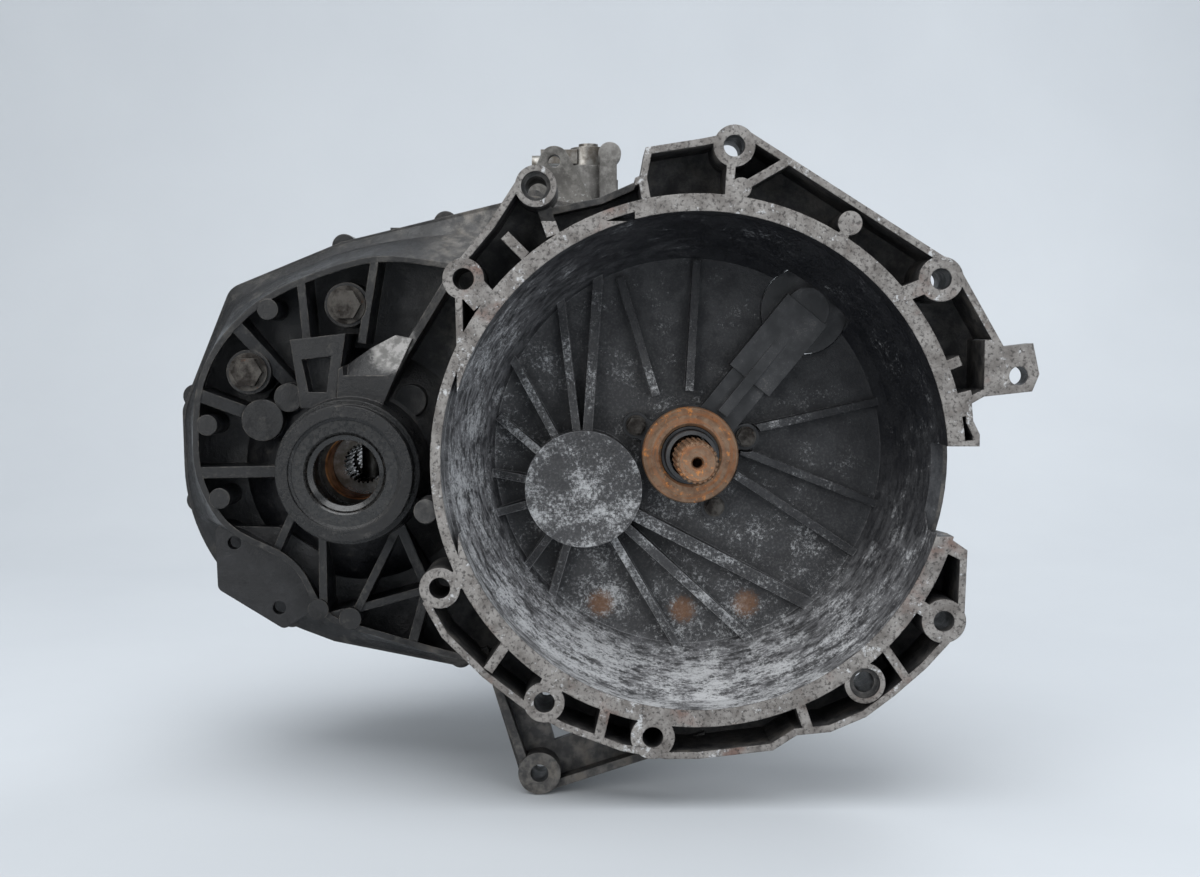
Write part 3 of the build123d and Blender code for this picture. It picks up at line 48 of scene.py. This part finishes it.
class Shader:
    """A Principled material and short calls that wire its nodes. Lengths are in metres."""

    def __init__(self, name, metallic=0.0, coat=0.0, coat_roughness=0.2):
        self.material = bpy.data.materials.new(name)
        self.material.use_nodes = True
        self.nodes = self.material.node_tree.nodes
        self.links = self.material.node_tree.links
        self.surface = self.nodes["Principled BSDF"]
        self.surface.inputs["Metallic"].default_value = metallic
        self.surface.inputs["Coat Weight"].default_value = coat
        self.surface.inputs["Coat Roughness"].default_value = coat_roughness
        self.place = self.nodes.new("ShaderNodeTexCoord").outputs["Object"]
        self.axes = None

    def feed(self, socket, value):
        """Link a node's output to a socket, or set the socket's own value."""
        if isinstance(value, bpy.types.NodeSocket):
            self.links.new(value, socket)
        elif isinstance(value, tuple) and len(value) == 3 and socket.type == "RGBA":
            socket.default_value = (*value, 1)
        else:
            socket.default_value = value

    def math(self, kind, *values, clamp=False):
        node = self.nodes.new("ShaderNodeMath")
        node.operation = kind
        node.use_clamp = clamp
        for socket, value in zip(node.inputs, values):
            self.feed(socket, value)
        return node.outputs[0]

    def times(self, first, second):
        return self.math("MULTIPLY", first, second)

    def plus(self, first, second):
        return self.math("ADD", first, second)

    def minus(self, first, second):
        return self.math("SUBTRACT", first, second)

    def blend(self, first, first_share, second, second_share):
        """The sum of two values in the given shares."""
        return self.plus(self.times(first, first_share), self.times(second, second_share))

    def vector(self, kind, *values, out="Vector"):
        node = self.nodes.new("ShaderNodeVectorMath")
        node.operation = kind
        for socket, value in zip(node.inputs, values):
            self.feed(socket, value)
        return node.outputs[out]

    def span(self, value, low, high, to_low=0.0, to_high=1.0):
        """value from low to high, smoothly, as to_low to to_high."""
        node = self.nodes.new("ShaderNodeMapRange")
        node.interpolation_type = "SMOOTHSTEP"
        for key, item in zip(("Value", "From Min", "From Max", "To Min", "To Max"),
                             (value, low, high, to_low, to_high)):
            self.feed(node.inputs[key], item)
        return node.outputs["Result"]

    def below(self, value, low, high):
        """1 under low, 0 over high."""
        return self.span(value, low, high, 1.0, 0.0)

    def noise(self, scale, detail=2.0, rough=0.55, where=None):
        """Fractal noise, with scale in waves per metre."""
        node = self.nodes.new("ShaderNodeTexNoise")
        self.feed(node.inputs["Vector"], where or self.place)
        for key, item in zip(("Scale", "Detail", "Roughness"), (scale, detail, rough)):
            node.inputs[key].default_value = item
        return node.outputs["Fac"]

    def mix(self, factor, first, second):
        node = self.nodes.new("ShaderNodeMix")
        node.data_type = "RGBA"
        self.feed(node.inputs[0], factor)
        self.feed(node.inputs[6], first)
        self.feed(node.inputs[7], second)
        return node.outputs[2]

    def layer(self, tone, mask, strength, colour):
        """Colour laid over tone where the mask is, at the given strength."""
        return self.mix(self.times(mask, strength), tone, colour)

    def xyz(self):
        if self.axes is None:
            node = self.nodes.new("ShaderNodeSeparateXYZ")
            self.feed(node.inputs[0], self.place)
            self.axes = tuple(node.outputs)
        return self.axes

    def joined(self, x, y, z):
        node = self.nodes.new("ShaderNodeCombineXYZ")
        for socket, value in zip(node.inputs, (x, y, z)):
            self.feed(socket, value)
        return node.outputs[0]

    def around(self, cx, cz):
        """Distance and angle about an axis along Y through (cx, cz)."""
        x, _, z = self.xyz()
        dx = self.minus(x, cx)
        dz = self.minus(z, cz)
        reach = self.math("SQRT", self.plus(self.times(dx, dx), self.times(dz, dz)))
        return reach, self.math("ARCTAN2", dz, dx)

    def edge(self, radius):
        """1 along sharp edges, 0 elsewhere, and the softened normal that finds them."""
        bevel = self.nodes.new("ShaderNodeBevel")
        bevel.samples = BEVEL_SAMPLES
        bevel.inputs["Radius"].default_value = radius
        geometry = self.nodes.new("ShaderNodeNewGeometry")
        match = self.vector("DOT_PRODUCT", bevel.outputs[0], geometry.outputs["Normal"],
                            out="Value")
        return self.span(self.minus(1.0, match), *EDGE_TURN), bevel.outputs[0]

    def hollow(self, distance):
        """1 deep in corners and recesses, 0 in the open: the mask for painted shade there."""
        node = self.nodes.new("ShaderNodeAmbientOcclusion")
        node.samples = AO_SAMPLES
        node.only_local = True
        node.inputs["Distance"].default_value = distance
        return self.math("SUBTRACT", 1.0, node.outputs["AO"], clamp=True)

    def bump(self, height, strength, distance, normal=None):
        node = self.nodes.new("ShaderNodeBump")
        node.inputs["Strength"].default_value = strength
        node.inputs["Distance"].default_value = distance
        self.feed(node.inputs["Height"], height)
        if normal is not None:
            self.feed(node.inputs["Normal"], normal)
        return node.outputs[0]

    def finish(self, colour, roughness, normal):
        self.feed(self.surface.inputs["Base Color"], colour)
        self.feed(self.surface.inputs["Roughness"], roughness)
        self.feed(self.surface.inputs["Normal"], normal)
        return self.material


# Colours, linear.
NAVY_BLACK = (0.0035, 0.0042, 0.0065)
OIL_BLACK = (0.006, 0.006, 0.0065)
OIL_GREY = (0.075, 0.070, 0.062)
CAST_DARK = (0.030, 0.029, 0.029)
CAST_MID = (0.115, 0.108, 0.100)
CAST_LIP = (0.30, 0.28, 0.26)
OXIDE = (0.60, 0.61, 0.62)
DUST = (0.21, 0.185, 0.155)
RUST_DARK = (0.085, 0.030, 0.014)
RUST = (0.30, 0.105, 0.030)
RUST_BRIGHT = (0.62, 0.235, 0.055)
RUST_EDGE = (0.50, 0.33, 0.20)
RUST_HOLLOW_SHADE = (0.020, 0.010, 0.006)
RUST_BROWNS = (0.15, 0.085, 0.050), (0.23, 0.150, 0.095)
BELL_GREY = (0.042, 0.042, 0.045)
BELL_DUST = (0.090, 0.088, 0.086)
BELL_SCOURED = (0.27, 0.27, 0.28)
BELL_EDGE = (0.40, 0.40, 0.41)
FLOOR_STAIN = (0.26, 0.13, 0.055)
HUB_BLACK = (0.0035, 0.0035, 0.004)
BARE_METALS = (0.13, 0.127, 0.120), (0.33, 0.32, 0.31)
SIDE_PLATE_BLACKS = (0.006, 0.006, 0.007), (0.014, 0.014, 0.016)
FACE_GREYS = (0.135, 0.122, 0.112), (0.27, 0.255, 0.24)
FACE_STAIN = (0.165, 0.085, 0.062)
FACE_PIT = (0.035, 0.030, 0.028)
CASE_OIL = (0.018, 0.016, 0.014)
CASE_HOLLOW_SHADE = (0.016, 0.0145, 0.013)
CASE_EDGE = (0.40, 0.385, 0.365)
STEEL_HOLLOW_SHADE = (0.012, 0.011, 0.010)
BORE_RUSTS = (0.24, 0.080, 0.022), (0.68, 0.28, 0.075)
PLASTIC_BLACKS = (0.012, 0.0125, 0.014), (0.030, 0.031, 0.034)
PLASTIC_EDGE = (0.10, 0.10, 0.105)
PLASTIC_DUST = (0.13, 0.125, 0.115)
RUBBER_BLACKS = (0.004, 0.004, 0.004), (0.014, 0.013, 0.012)
RUBBER_GRIT = (0.09, 0.075, 0.06)
FLOOR_PALES = (0.49, 0.515, 0.545), (0.555, 0.58, 0.605)

# Places on the clutch housing, in metres. A pair is where a change starts and ends.
BELL_AXIS = (0.0, 0.0)  # (x, z)
DIFF_AXIS = (-0.210, -0.008)  # (x, z)
FACE_Y = (0.0002, 0.0009)  # behind the machined engine face
WALL_Y, WALL_REACH = (0.018, 0.073), (0.151, 0.134)  # the bell's wall narrows towards its floor
WALL_DEPTH = (0.001, 0.002)
WALL_FOOT = (0.118, 0.131)  # reach at which the floor turns into the wall
BELL_FLOOR_Y = (0.0872, 0.0880)
BELL_FRONT_Y = (0.0009, 0.0012)
OILY_X = (-0.115, -0.150)  # oily to the left, at the differential
HUB_REACH, HUB_Y = (0.0435, 0.047), (0.060, 0.072)
SIDE_PLATE_X, SIDE_PLATE_Z = (-0.236, -0.238), (-0.047, -0.048)
SIDE_PLATE_FRONT, SIDE_PLATE_BACK = (0.0752, 0.0756), (0.0832, 0.0836)
STAIN_PLACES = [(-0.056, -0.098), (-0.003, -0.102), (0.038, -0.098)]  # (x, z) in the bell's floor
STAIN_REACH, STAIN_Y = (0.004, 0.0105), (0.078, 0.083)
BARE_PLACE = (-0.184, 0.053, 0.068)  # the wedge above the axle hub
BARE_REACH = (0.012, 0.019)
AXLE_BORE_R = 0.0208


def bell_casting():
    """The clutch housing: corroded inside the bell, oily black round the differential."""
    s = Shader("bell_casting_weathered")
    x, y, z = s.xyz()
    reach, turn = s.around(*BELL_AXIS)
    edge, soft = s.edge(0.0011)
    # Painted shade: an occlusion mask that darkens the casting's corners and recesses.
    hollow_shade = s.hollow(0.035)

    # Where it is: the machined face, the bell's inside, and the differential's side.
    face = s.below(y, *FACE_Y)
    cone = s.span(y, *WALL_Y, *WALL_REACH)
    inside = s.times(s.below(s.minus(reach, cone), *WALL_DEPTH), s.below(y, *BELL_FLOOR_Y))
    inside = s.times(inside, s.span(y, *BELL_FRONT_Y))
    # Brightest low on the left, darkest high on the right: painted light and shade, the lower
    # floor lit as from above and the top darkened as by the rim's shadow, partly the metal's own
    # darker tone.
    broad = s.noise(22, 4, 0.6)
    lean = s.blend(x, -4.2, z, -5.6)
    painted_light_and_tone = s.span(s.plus(lean, s.times(broad, 0.9)), -0.45, 1.35)
    low = s.span(s.plus(z, s.times(broad, 0.03)), -0.055, -0.115)
    wall = s.span(reach, *WALL_FOOT)

    # Streaks that run round the wall, and salt-like oxide grains everywhere.
    ring = s.joined(s.times(turn, 0.05), s.times(reach, 0.6), y)
    streak = s.noise(260, 5, 0.7, where=ring)
    fine = s.noise(620, 3, 0.7)
    grain = s.noise(560, 5, 0.80)
    clump = s.noise(46, 5, 0.65)
    salt = s.blend(grain, 0.56, clump, 0.44)
    salt = s.plus(salt, s.times(s.minus(streak, 0.5), s.times(wall, 0.30)))
    salt = s.plus(salt, s.times(painted_light_and_tone, 0.105))
    salt = s.plus(salt, s.times(s.times(low, wall), 0.02))
    # Painted shade: fewer light oxide grains in the hollows.
    salt = s.minus(salt, s.times(hollow_shade, 0.09))
    grains = s.span(salt, 0.565, 0.70)

    # Painted light and shade: navy black where shaded, bell grey where lit.
    bell = s.mix(painted_light_and_tone, NAVY_BLACK, BELL_GREY)
    # Dust, scouring and oxide grains below are real marks, laid thicker where the painted light
    # is.
    dusting = s.times(s.span(fine, 0.46, 0.66), s.span(painted_light_and_tone, 0.0, 0.6, 0.10, 0.55))
    bell = s.mix(dusting, bell, BELL_DUST)
    scoured = s.times(wall, s.times(painted_light_and_tone, s.span(streak, 0.36, 0.62)))
    bell = s.layer(bell, scoured, 0.85, BELL_SCOURED)
    # Painted shade: corners and recesses inside the bell darkened to navy black.
    bell = s.layer(bell, hollow_shade, 0.75, NAVY_BLACK)
    # Painted highlight along the edges, broken by grain and stronger where the painted light is.
    lit_edge = s.times(edge, s.span(s.plus(grain, s.times(painted_light_and_tone, 0.35)), 0.5, 0.85))
    bell = s.layer(bell, lit_edge, 0.85, BELL_EDGE)
    bell = s.mix(s.times(grains, s.span(painted_light_and_tone, 0.0, 0.6, 0.35, 0.72)), bell, OXIDE)
    ragged = s.times(s.minus(grain, 0.5), 0.016)
    stain = 0.0
    for place in STAIN_PLACES:
        away = s.plus(s.around(*place)[0], ragged)
        stain = s.math("MAXIMUM", stain, s.below(away, *STAIN_REACH))
    stain = s.times(stain, s.span(y, *STAIN_Y))
    bell = s.layer(bell, stain, 0.75, s.mix(fine, RUST_DARK, FLOOR_STAIN))

    # The outside: dusty dark grey, oily black at the differential.
    oily = s.span(s.plus(x, s.times(broad, 0.05)), *OILY_X)
    skin = s.noise(140, 5, 0.7)
    dusty = s.mix(s.span(skin, 0.40, 0.66), CAST_DARK, CAST_MID)
    dusty = s.layer(dusty, s.span(s.noise(60, 4, 0.65), 0.5, 0.68), 0.45, DUST)
    black = s.layer(OIL_BLACK, s.span(s.noise(95, 5, 0.7), 0.52, 0.70), 0.55, OIL_GREY)
    lip = s.times(edge, s.span(s.noise(150, 4, 0.7), 0.42, 0.62))
    black = s.layer(black, lip, 0.8, DUST)
    dusty = s.layer(dusty, lip, 0.6, CAST_LIP)
    outside = s.mix(oily, dusty, black)
    # Painted shade: corners and recesses outside the bell darkened to navy black.
    outside = s.layer(outside, hollow_shade, 0.8, NAVY_BLACK)

    # On it: the glossy hub, bare metal on the wedge, and the black side plate.
    hub = s.times(s.below(s.around(*DIFF_AXIS)[0], *HUB_REACH), s.below(y, *HUB_Y))
    outside = s.mix(s.times(hub, s.span(skin, 0.62, 0.5)), outside, HUB_BLACK)
    from_wedge = s.vector("LENGTH", s.vector("SUBTRACT", s.place, BARE_PLACE), out="Value")
    bare = s.below(s.plus(from_wedge, ragged), *BARE_REACH)
    outside = s.layer(outside, bare, 0.85, s.mix(s.span(skin, 0.42, 0.6), *BARE_METALS))
    side_plate = s.times(
        s.times(s.span(x, *SIDE_PLATE_X), s.span(z, *SIDE_PLATE_Z)),
        s.times(s.span(y, *SIDE_PLATE_FRONT), s.below(y, *SIDE_PLATE_BACK)))
    outside = s.mix(side_plate, outside, s.mix(s.span(skin, 0.45, 0.7), *SIDE_PLATE_BLACKS))

    # The machined face: grey-brown, pitted, with white bloom and brown stains.
    pits = s.below(s.noise(420, 3, 0.7), 0.36, 0.50)
    machined = s.mix(s.span(s.noise(75, 5, 0.65), 0.36, 0.64), *FACE_GREYS)
    machined = s.layer(machined, s.span(s.noise(28, 4, 0.6), 0.56, 0.70), 0.6, FACE_STAIN)
    machined = s.layer(machined, pits, 0.8, FACE_PIT)
    bloom = s.span(s.blend(s.noise(250, 4, 0.75), 0.6, s.noise(40, 3, 0.6), 0.4), 0.555, 0.63)
    machined = s.layer(machined, bloom, 0.75, OXIDE)

    colour = s.mix(face, s.mix(inside, outside, bell), machined)
    wet = s.span(s.noise(55, 3, 0.6), 0.40, 0.62)
    rough = s.blend(wet, 0.22, grains, 0.25)
    rough = s.plus(rough, s.span(oily, 0.0, 1.0, 0.46, 0.30))
    rough = s.minus(rough, s.times(hub, 0.12))
    height = s.blend(grain, 0.55, skin, 0.6)
    height = s.minus(height, s.times(pits, s.times(face, 0.35)))
    height = s.plus(height, s.times(s.times(streak, wall), 0.45))
    return s.finish(colour, rough, s.bump(height, 0.55, 0.0010, soft))


def case_casting(name, dark, mid, light):
    """Sand-cast aluminium, oily low down, with painted shade in the corners and dusty edges."""
    s = Shader(name)
    z = s.xyz()[2]
    edge, soft = s.edge(0.0014)
    hollow_shade = s.hollow(0.03)
    skin = s.noise(150, 5, 0.7)
    broad = s.noise(16, 5, 0.62)
    fine = s.noise(520, 3, 0.7)
    tone = s.mix(s.span(broad, 0.36, 0.66), dark, mid)
    tone = s.layer(tone, s.span(skin, 0.42, 0.66), 0.6, light)
    # Oil gathers low down.
    oil = s.span(s.plus(s.noise(24, 5, 0.65), s.times(z, -0.9)), 0.56, 0.72)
    tone = s.layer(tone, oil, 0.72, CASE_OIL)
    # Painted shade: corners and recesses darkened.
    tone = s.layer(tone, s.span(hollow_shade, 0.25, 0.85), 0.85, CASE_HOLLOW_SHADE)
    tone = s.layer(tone, s.times(edge, s.span(skin, 0.38, 0.60)), 0.55, CASE_EDGE)
    salt = s.span(s.blend(fine, 0.55, broad, 0.45), 0.575, 0.66)
    tone = s.layer(tone, salt, 0.55, OXIDE)
    rough = s.plus(s.span(oil, 0.0, 1.0, 0.60, 0.34), s.times(salt, 0.2))
    height = s.blend(skin, 0.7, fine, 0.35)
    return s.finish(tone, rough, s.bump(height, 0.5, 0.0009, soft))


def steel(name, colour, dirt, rust, rough, bevel=0.0004, metallic=0.85, rusty_bore=None):
    """Machined or forged steel under a film of oil, with rust where it is left dry.

    rough is the roughness where it is clean and where it is dirty.
    """
    s = Shader(name, metallic=metallic)
    edge, soft = s.edge(bevel)
    hollow_shade = s.hollow(0.008)
    broad = s.noise(90, 5, 0.65)
    fine = s.noise(900, 3, 0.7)
    tone = s.mix(s.span(broad, 0.38, 0.64), dirt, colour)
    # Painted shade: corners and recesses darkened.
    tone = s.layer(tone, s.span(hollow_shade, 0.3, 0.9), 0.75, STEEL_HOLLOW_SHADE)
    tone = s.layer(tone, edge, 0.5, tuple(min(1, c * EDGE_LIFT) for c in colour))
    spots = s.span(s.blend(s.noise(160, 5, 0.75), 0.7, fine, 0.3), 0.66 - 0.2 * rust, 0.74)
    tone = s.layer(tone, spots, 0.85, s.mix(fine, RUST_DARK, RUST))
    clean, dirty = rough
    roughness = s.plus(s.span(broad, 0.35, 0.65, dirty, clean), s.times(spots, 0.35))
    height = s.plus(fine, s.times(spots, 0.8))
    if rusty_bore:
        bore = s.below(s.around(*DIFF_AXIS)[0], rusty_bore, rusty_bore + 0.0006)
        tone = s.layer(tone, bore, 0.9, s.mix(s.span(broad, 0.38, 0.62), *BORE_RUSTS))
    return s.finish(tone, roughness, s.bump(height, 0.25, 0.0003, soft))


def rusty(name):
    """Bare steel gone orange-brown, with worn bands turned about the input axis."""
    s = Shader(name, metallic=0.35)
    y = s.xyz()[1]
    reach, turn = s.around(*BELL_AXIS)
    edge, soft = s.edge(0.0005)
    hollow_shade = s.hollow(0.006)
    turned = s.joined(s.times(reach, 620), s.times(turn, 1.1), s.times(y, 90))
    band = s.noise(1.0, 3, 0.6, where=turned)
    patch = s.noise(150, 5, 0.7)
    fine = s.noise(1100, 3, 0.75)
    tone = s.mix(s.span(patch, 0.36, 0.62), *RUST_BROWNS)
    tone = s.layer(tone, s.span(band, 0.44, 0.66), 0.65, RUST)
    tone = s.layer(tone, s.span(s.noise(230, 4, 0.7), 0.56, 0.70), 0.85, RUST_BRIGHT)
    tone = s.layer(tone, s.span(s.noise(320, 3, 0.7), 0.58, 0.70), 0.7, RUST_DARK)
    tone = s.layer(tone, edge, 0.45, RUST_EDGE)
    # Painted shade: corners and recesses darkened.
    tone = s.layer(tone, s.span(hollow_shade, 0.35, 0.95), 0.8, RUST_HOLLOW_SHADE)
    rough = s.span(patch, 0.35, 0.65, 0.62, 0.42)
    height = s.blend(fine, 0.6, band, 0.8)
    return s.finish(tone, rough, s.bump(height, 0.35, 0.0004, soft))


def plastic(name):
    """Moulded black plastic, dulled by clutch dust."""
    s = Shader(name)
    edge, soft = s.edge(0.0005)
    broad = s.noise(70, 4, 0.6)
    fine = s.noise(1300, 2, 0.6)
    tone = s.mix(s.span(broad, 0.38, 0.66), *PLASTIC_BLACKS)
    tone = s.layer(tone, edge, 0.4, PLASTIC_EDGE)
    dust = s.span(s.blend(fine, 0.5, broad, 0.5), 0.56, 0.66)
    tone = s.layer(tone, dust, 0.4, PLASTIC_DUST)
    return s.finish(tone, s.span(broad, 0.35, 0.65, 0.34, 0.52),
                    s.bump(fine, 0.12, 0.0002, soft))


def rubber(name):
    """Seal rubber wet with oil."""
    s = Shader(name, coat=0.5, coat_roughness=0.18)
    soft = s.edge(0.0004)[1]
    fine = s.noise(500, 4, 0.7)
    grit = s.span(s.noise(240, 4, 0.75), 0.58, 0.68)
    tone = s.mix(s.span(fine, 0.4, 0.65), *RUBBER_BLACKS)
    tone = s.layer(tone, grit, 0.35, RUBBER_GRIT)
    return s.finish(tone, s.span(fine, 0.4, 0.65, 0.22, 0.48), s.bump(fine, 0.3, 0.0003, soft))


# The finish of each material slot in the record.
materials = {
    "bell_casting": bell_casting(),
    "case_casting": case_casting(
        "case_casting_oily", dark=(0.060, 0.056, 0.051), mid=(0.150, 0.143, 0.132),
        light=(0.235, 0.226, 0.210)),
    "tower_casting": case_casting(
        "tower_casting_dull", dark=(0.095, 0.090, 0.083), mid=(0.215, 0.207, 0.195),
        light=(0.33, 0.32, 0.305)),
    "gasket": rubber("gasket_fibre"),
    "fastener_steel": steel(
        "fastener_steel_oily", colour=(0.092, 0.085, 0.077), dirt=(0.022, 0.019, 0.017),
        rust=0.35, rough=(0.36, 0.62)),
    "rusty_steel": rusty("rusty_steel_bare"),
    "bearing_steel": steel(
        "bearing_steel_ground", colour=(0.58, 0.57, 0.56), dirt=(0.34, 0.33, 0.31),
        rust=0.0, rough=(0.18, 0.34), bevel=0.0003),
    "gear_steel": steel(
        "gear_steel_oily", colour=(0.42, 0.41, 0.40), dirt=(0.20, 0.185, 0.16),
        rust=0.05, rough=(0.24, 0.44), bevel=0.0003),
    "plain_steel": steel(
        "plain_steel_dull", colour=(0.33, 0.32, 0.30), dirt=(0.13, 0.115, 0.098),
        rust=0.3, rough=(0.34, 0.58)),
    "cast_iron": steel(
        "cast_iron_oily", colour=(0.105, 0.095, 0.085), dirt=(0.035, 0.030, 0.026),
        rust=0.25, rough=(0.42, 0.66), bevel=0.0007, metallic=0.3, rusty_bore=AXLE_BORE_R),
    "bronze": steel(
        "bronze_oily", colour=(0.62, 0.43, 0.19), dirt=(0.32, 0.20, 0.08),
        rust=0.0, rough=(0.26, 0.42), bevel=0.0003, metallic=0.9),
    "seal_rubber": rubber("seal_rubber_oily"),
    "black_plastic": plastic("black_plastic_dusty"),
}

for row in frame["record"]["subparts"]:
    mesh = nodes[row["node"]].data
    mesh.materials.clear()
    mesh.materials.append(materials[row["material_slot"]])

# The floor sweeps up into a pale backdrop well behind the object.
FLOOR_Z = cad_box[0][2] - 0.0005
FLOOR_FRONT, FLOOR_SIDE = -14.0, 12.0
SWEEP_START, SWEEP_RADIUS, SWEEP_STEPS = 0.9, 0.9, 16
WALL_TOP = 2.6
profile = [(FLOOR_FRONT, 0.0), (SWEEP_START, 0.0)]
for step in range(1, SWEEP_STEPS + 1):
    angle = math.radians(90 * step / SWEEP_STEPS)
    profile.append((SWEEP_START + SWEEP_RADIUS * math.sin(angle),
                    SWEEP_RADIUS * (1 - math.cos(angle))))
profile.append((SWEEP_START + SWEEP_RADIUS, WALL_TOP))
verts = [(side, y, FLOOR_Z + z) for side in (-FLOOR_SIDE, FLOOR_SIDE) for y, z in profile]
count = len(profile)
faces = [(i, i + 1, count + i + 1, count + i) for i in range(count - 1)]
floor_mesh = bpy.data.meshes.new("floor")
floor_mesh.from_pydata(verts, [], faces)
floor_mesh.shade_smooth()
floor = bpy.data.objects.new("floor", floor_mesh)
scene.collection.objects.link(floor)
pale = Shader("pale_floor")
pale_tone = pale.mix(pale.noise(3.0, 4, 0.55), *FLOOR_PALES)
floor_mesh.materials.append(
    pale.finish(pale_tone, 0.8, pale.bump(pale.noise(60, 4, 0.6), 0.08, 0.002)))

# Soft studio light: name, place, (width, height), watts, colour. Each faces LIGHT_AIM.
LIGHT_AIM = Vector((-0.06, 0.10, 0.0))
LIGHTS = [
    ("sky", (-0.25, -0.55, 2.1), (2.6, 2.2), 58, (0.97, 0.985, 1.0)),
    ("front_left", (-1.7, -2.0, 0.9), (1.6, 1.6), 26, (1.0, 0.985, 0.96)),
    ("front_right", (1.5, -2.1, 0.5), (1.4, 1.4), 15, (0.95, 0.975, 1.0)),
    ("back", (0.9, 1.45, 1.6), (1.2, 0.9), 16, (0.96, 0.98, 1.0)),
]
WORLD_COLOUR, WORLD_STRENGTH = (0.80, 0.86, 0.92, 1), 0.42

for name, place, size, watts, colour in LIGHTS:
    light_data = bpy.data.lights.new(name, "AREA")
    light_data.shape = "RECTANGLE"
    light_data.size, light_data.size_y = size
    light_data.energy = watts
    light_data.color = colour
    light = bpy.data.objects.new(name, light_data)
    scene.collection.objects.link(light)
    light.location = place
    away = light.location - LIGHT_AIM
    light.rotation_euler = away.to_track_quat("Z", "Y").to_euler()

world = bpy.data.worlds.new("studio")
scene.world = world
world.use_nodes = True
background = world.node_tree.nodes["Background"]
background.inputs["Color"].default_value = WORLD_COLOUR
background.inputs["Strength"].default_value = WORLD_STRENGTH

# The photograph's view: 0.8 m in front of the engine face, a little above the input axis.
CAMERA_PLACE = (-0.063, -0.800, 0.069)
CAMERA_DIP, CAMERA_SWING = 3.88, -0.42  # degrees down and to the side
CAMERA_LENS = 41.4
camera_data = bpy.data.cameras.new("camera")
camera_data.sensor_width = 36
camera_data.lens = CAMERA_LENS
camera_data.clip_start = 0.02
camera = bpy.data.objects.new("camera", camera_data)
scene.collection.objects.link(camera)
camera.location = CAMERA_PLACE
camera.rotation_euler = (math.radians(90 - CAMERA_DIP), 0, math.radians(CAMERA_SWING))
scene.camera = camera
scene.view_settings.view_transform = "Standard"
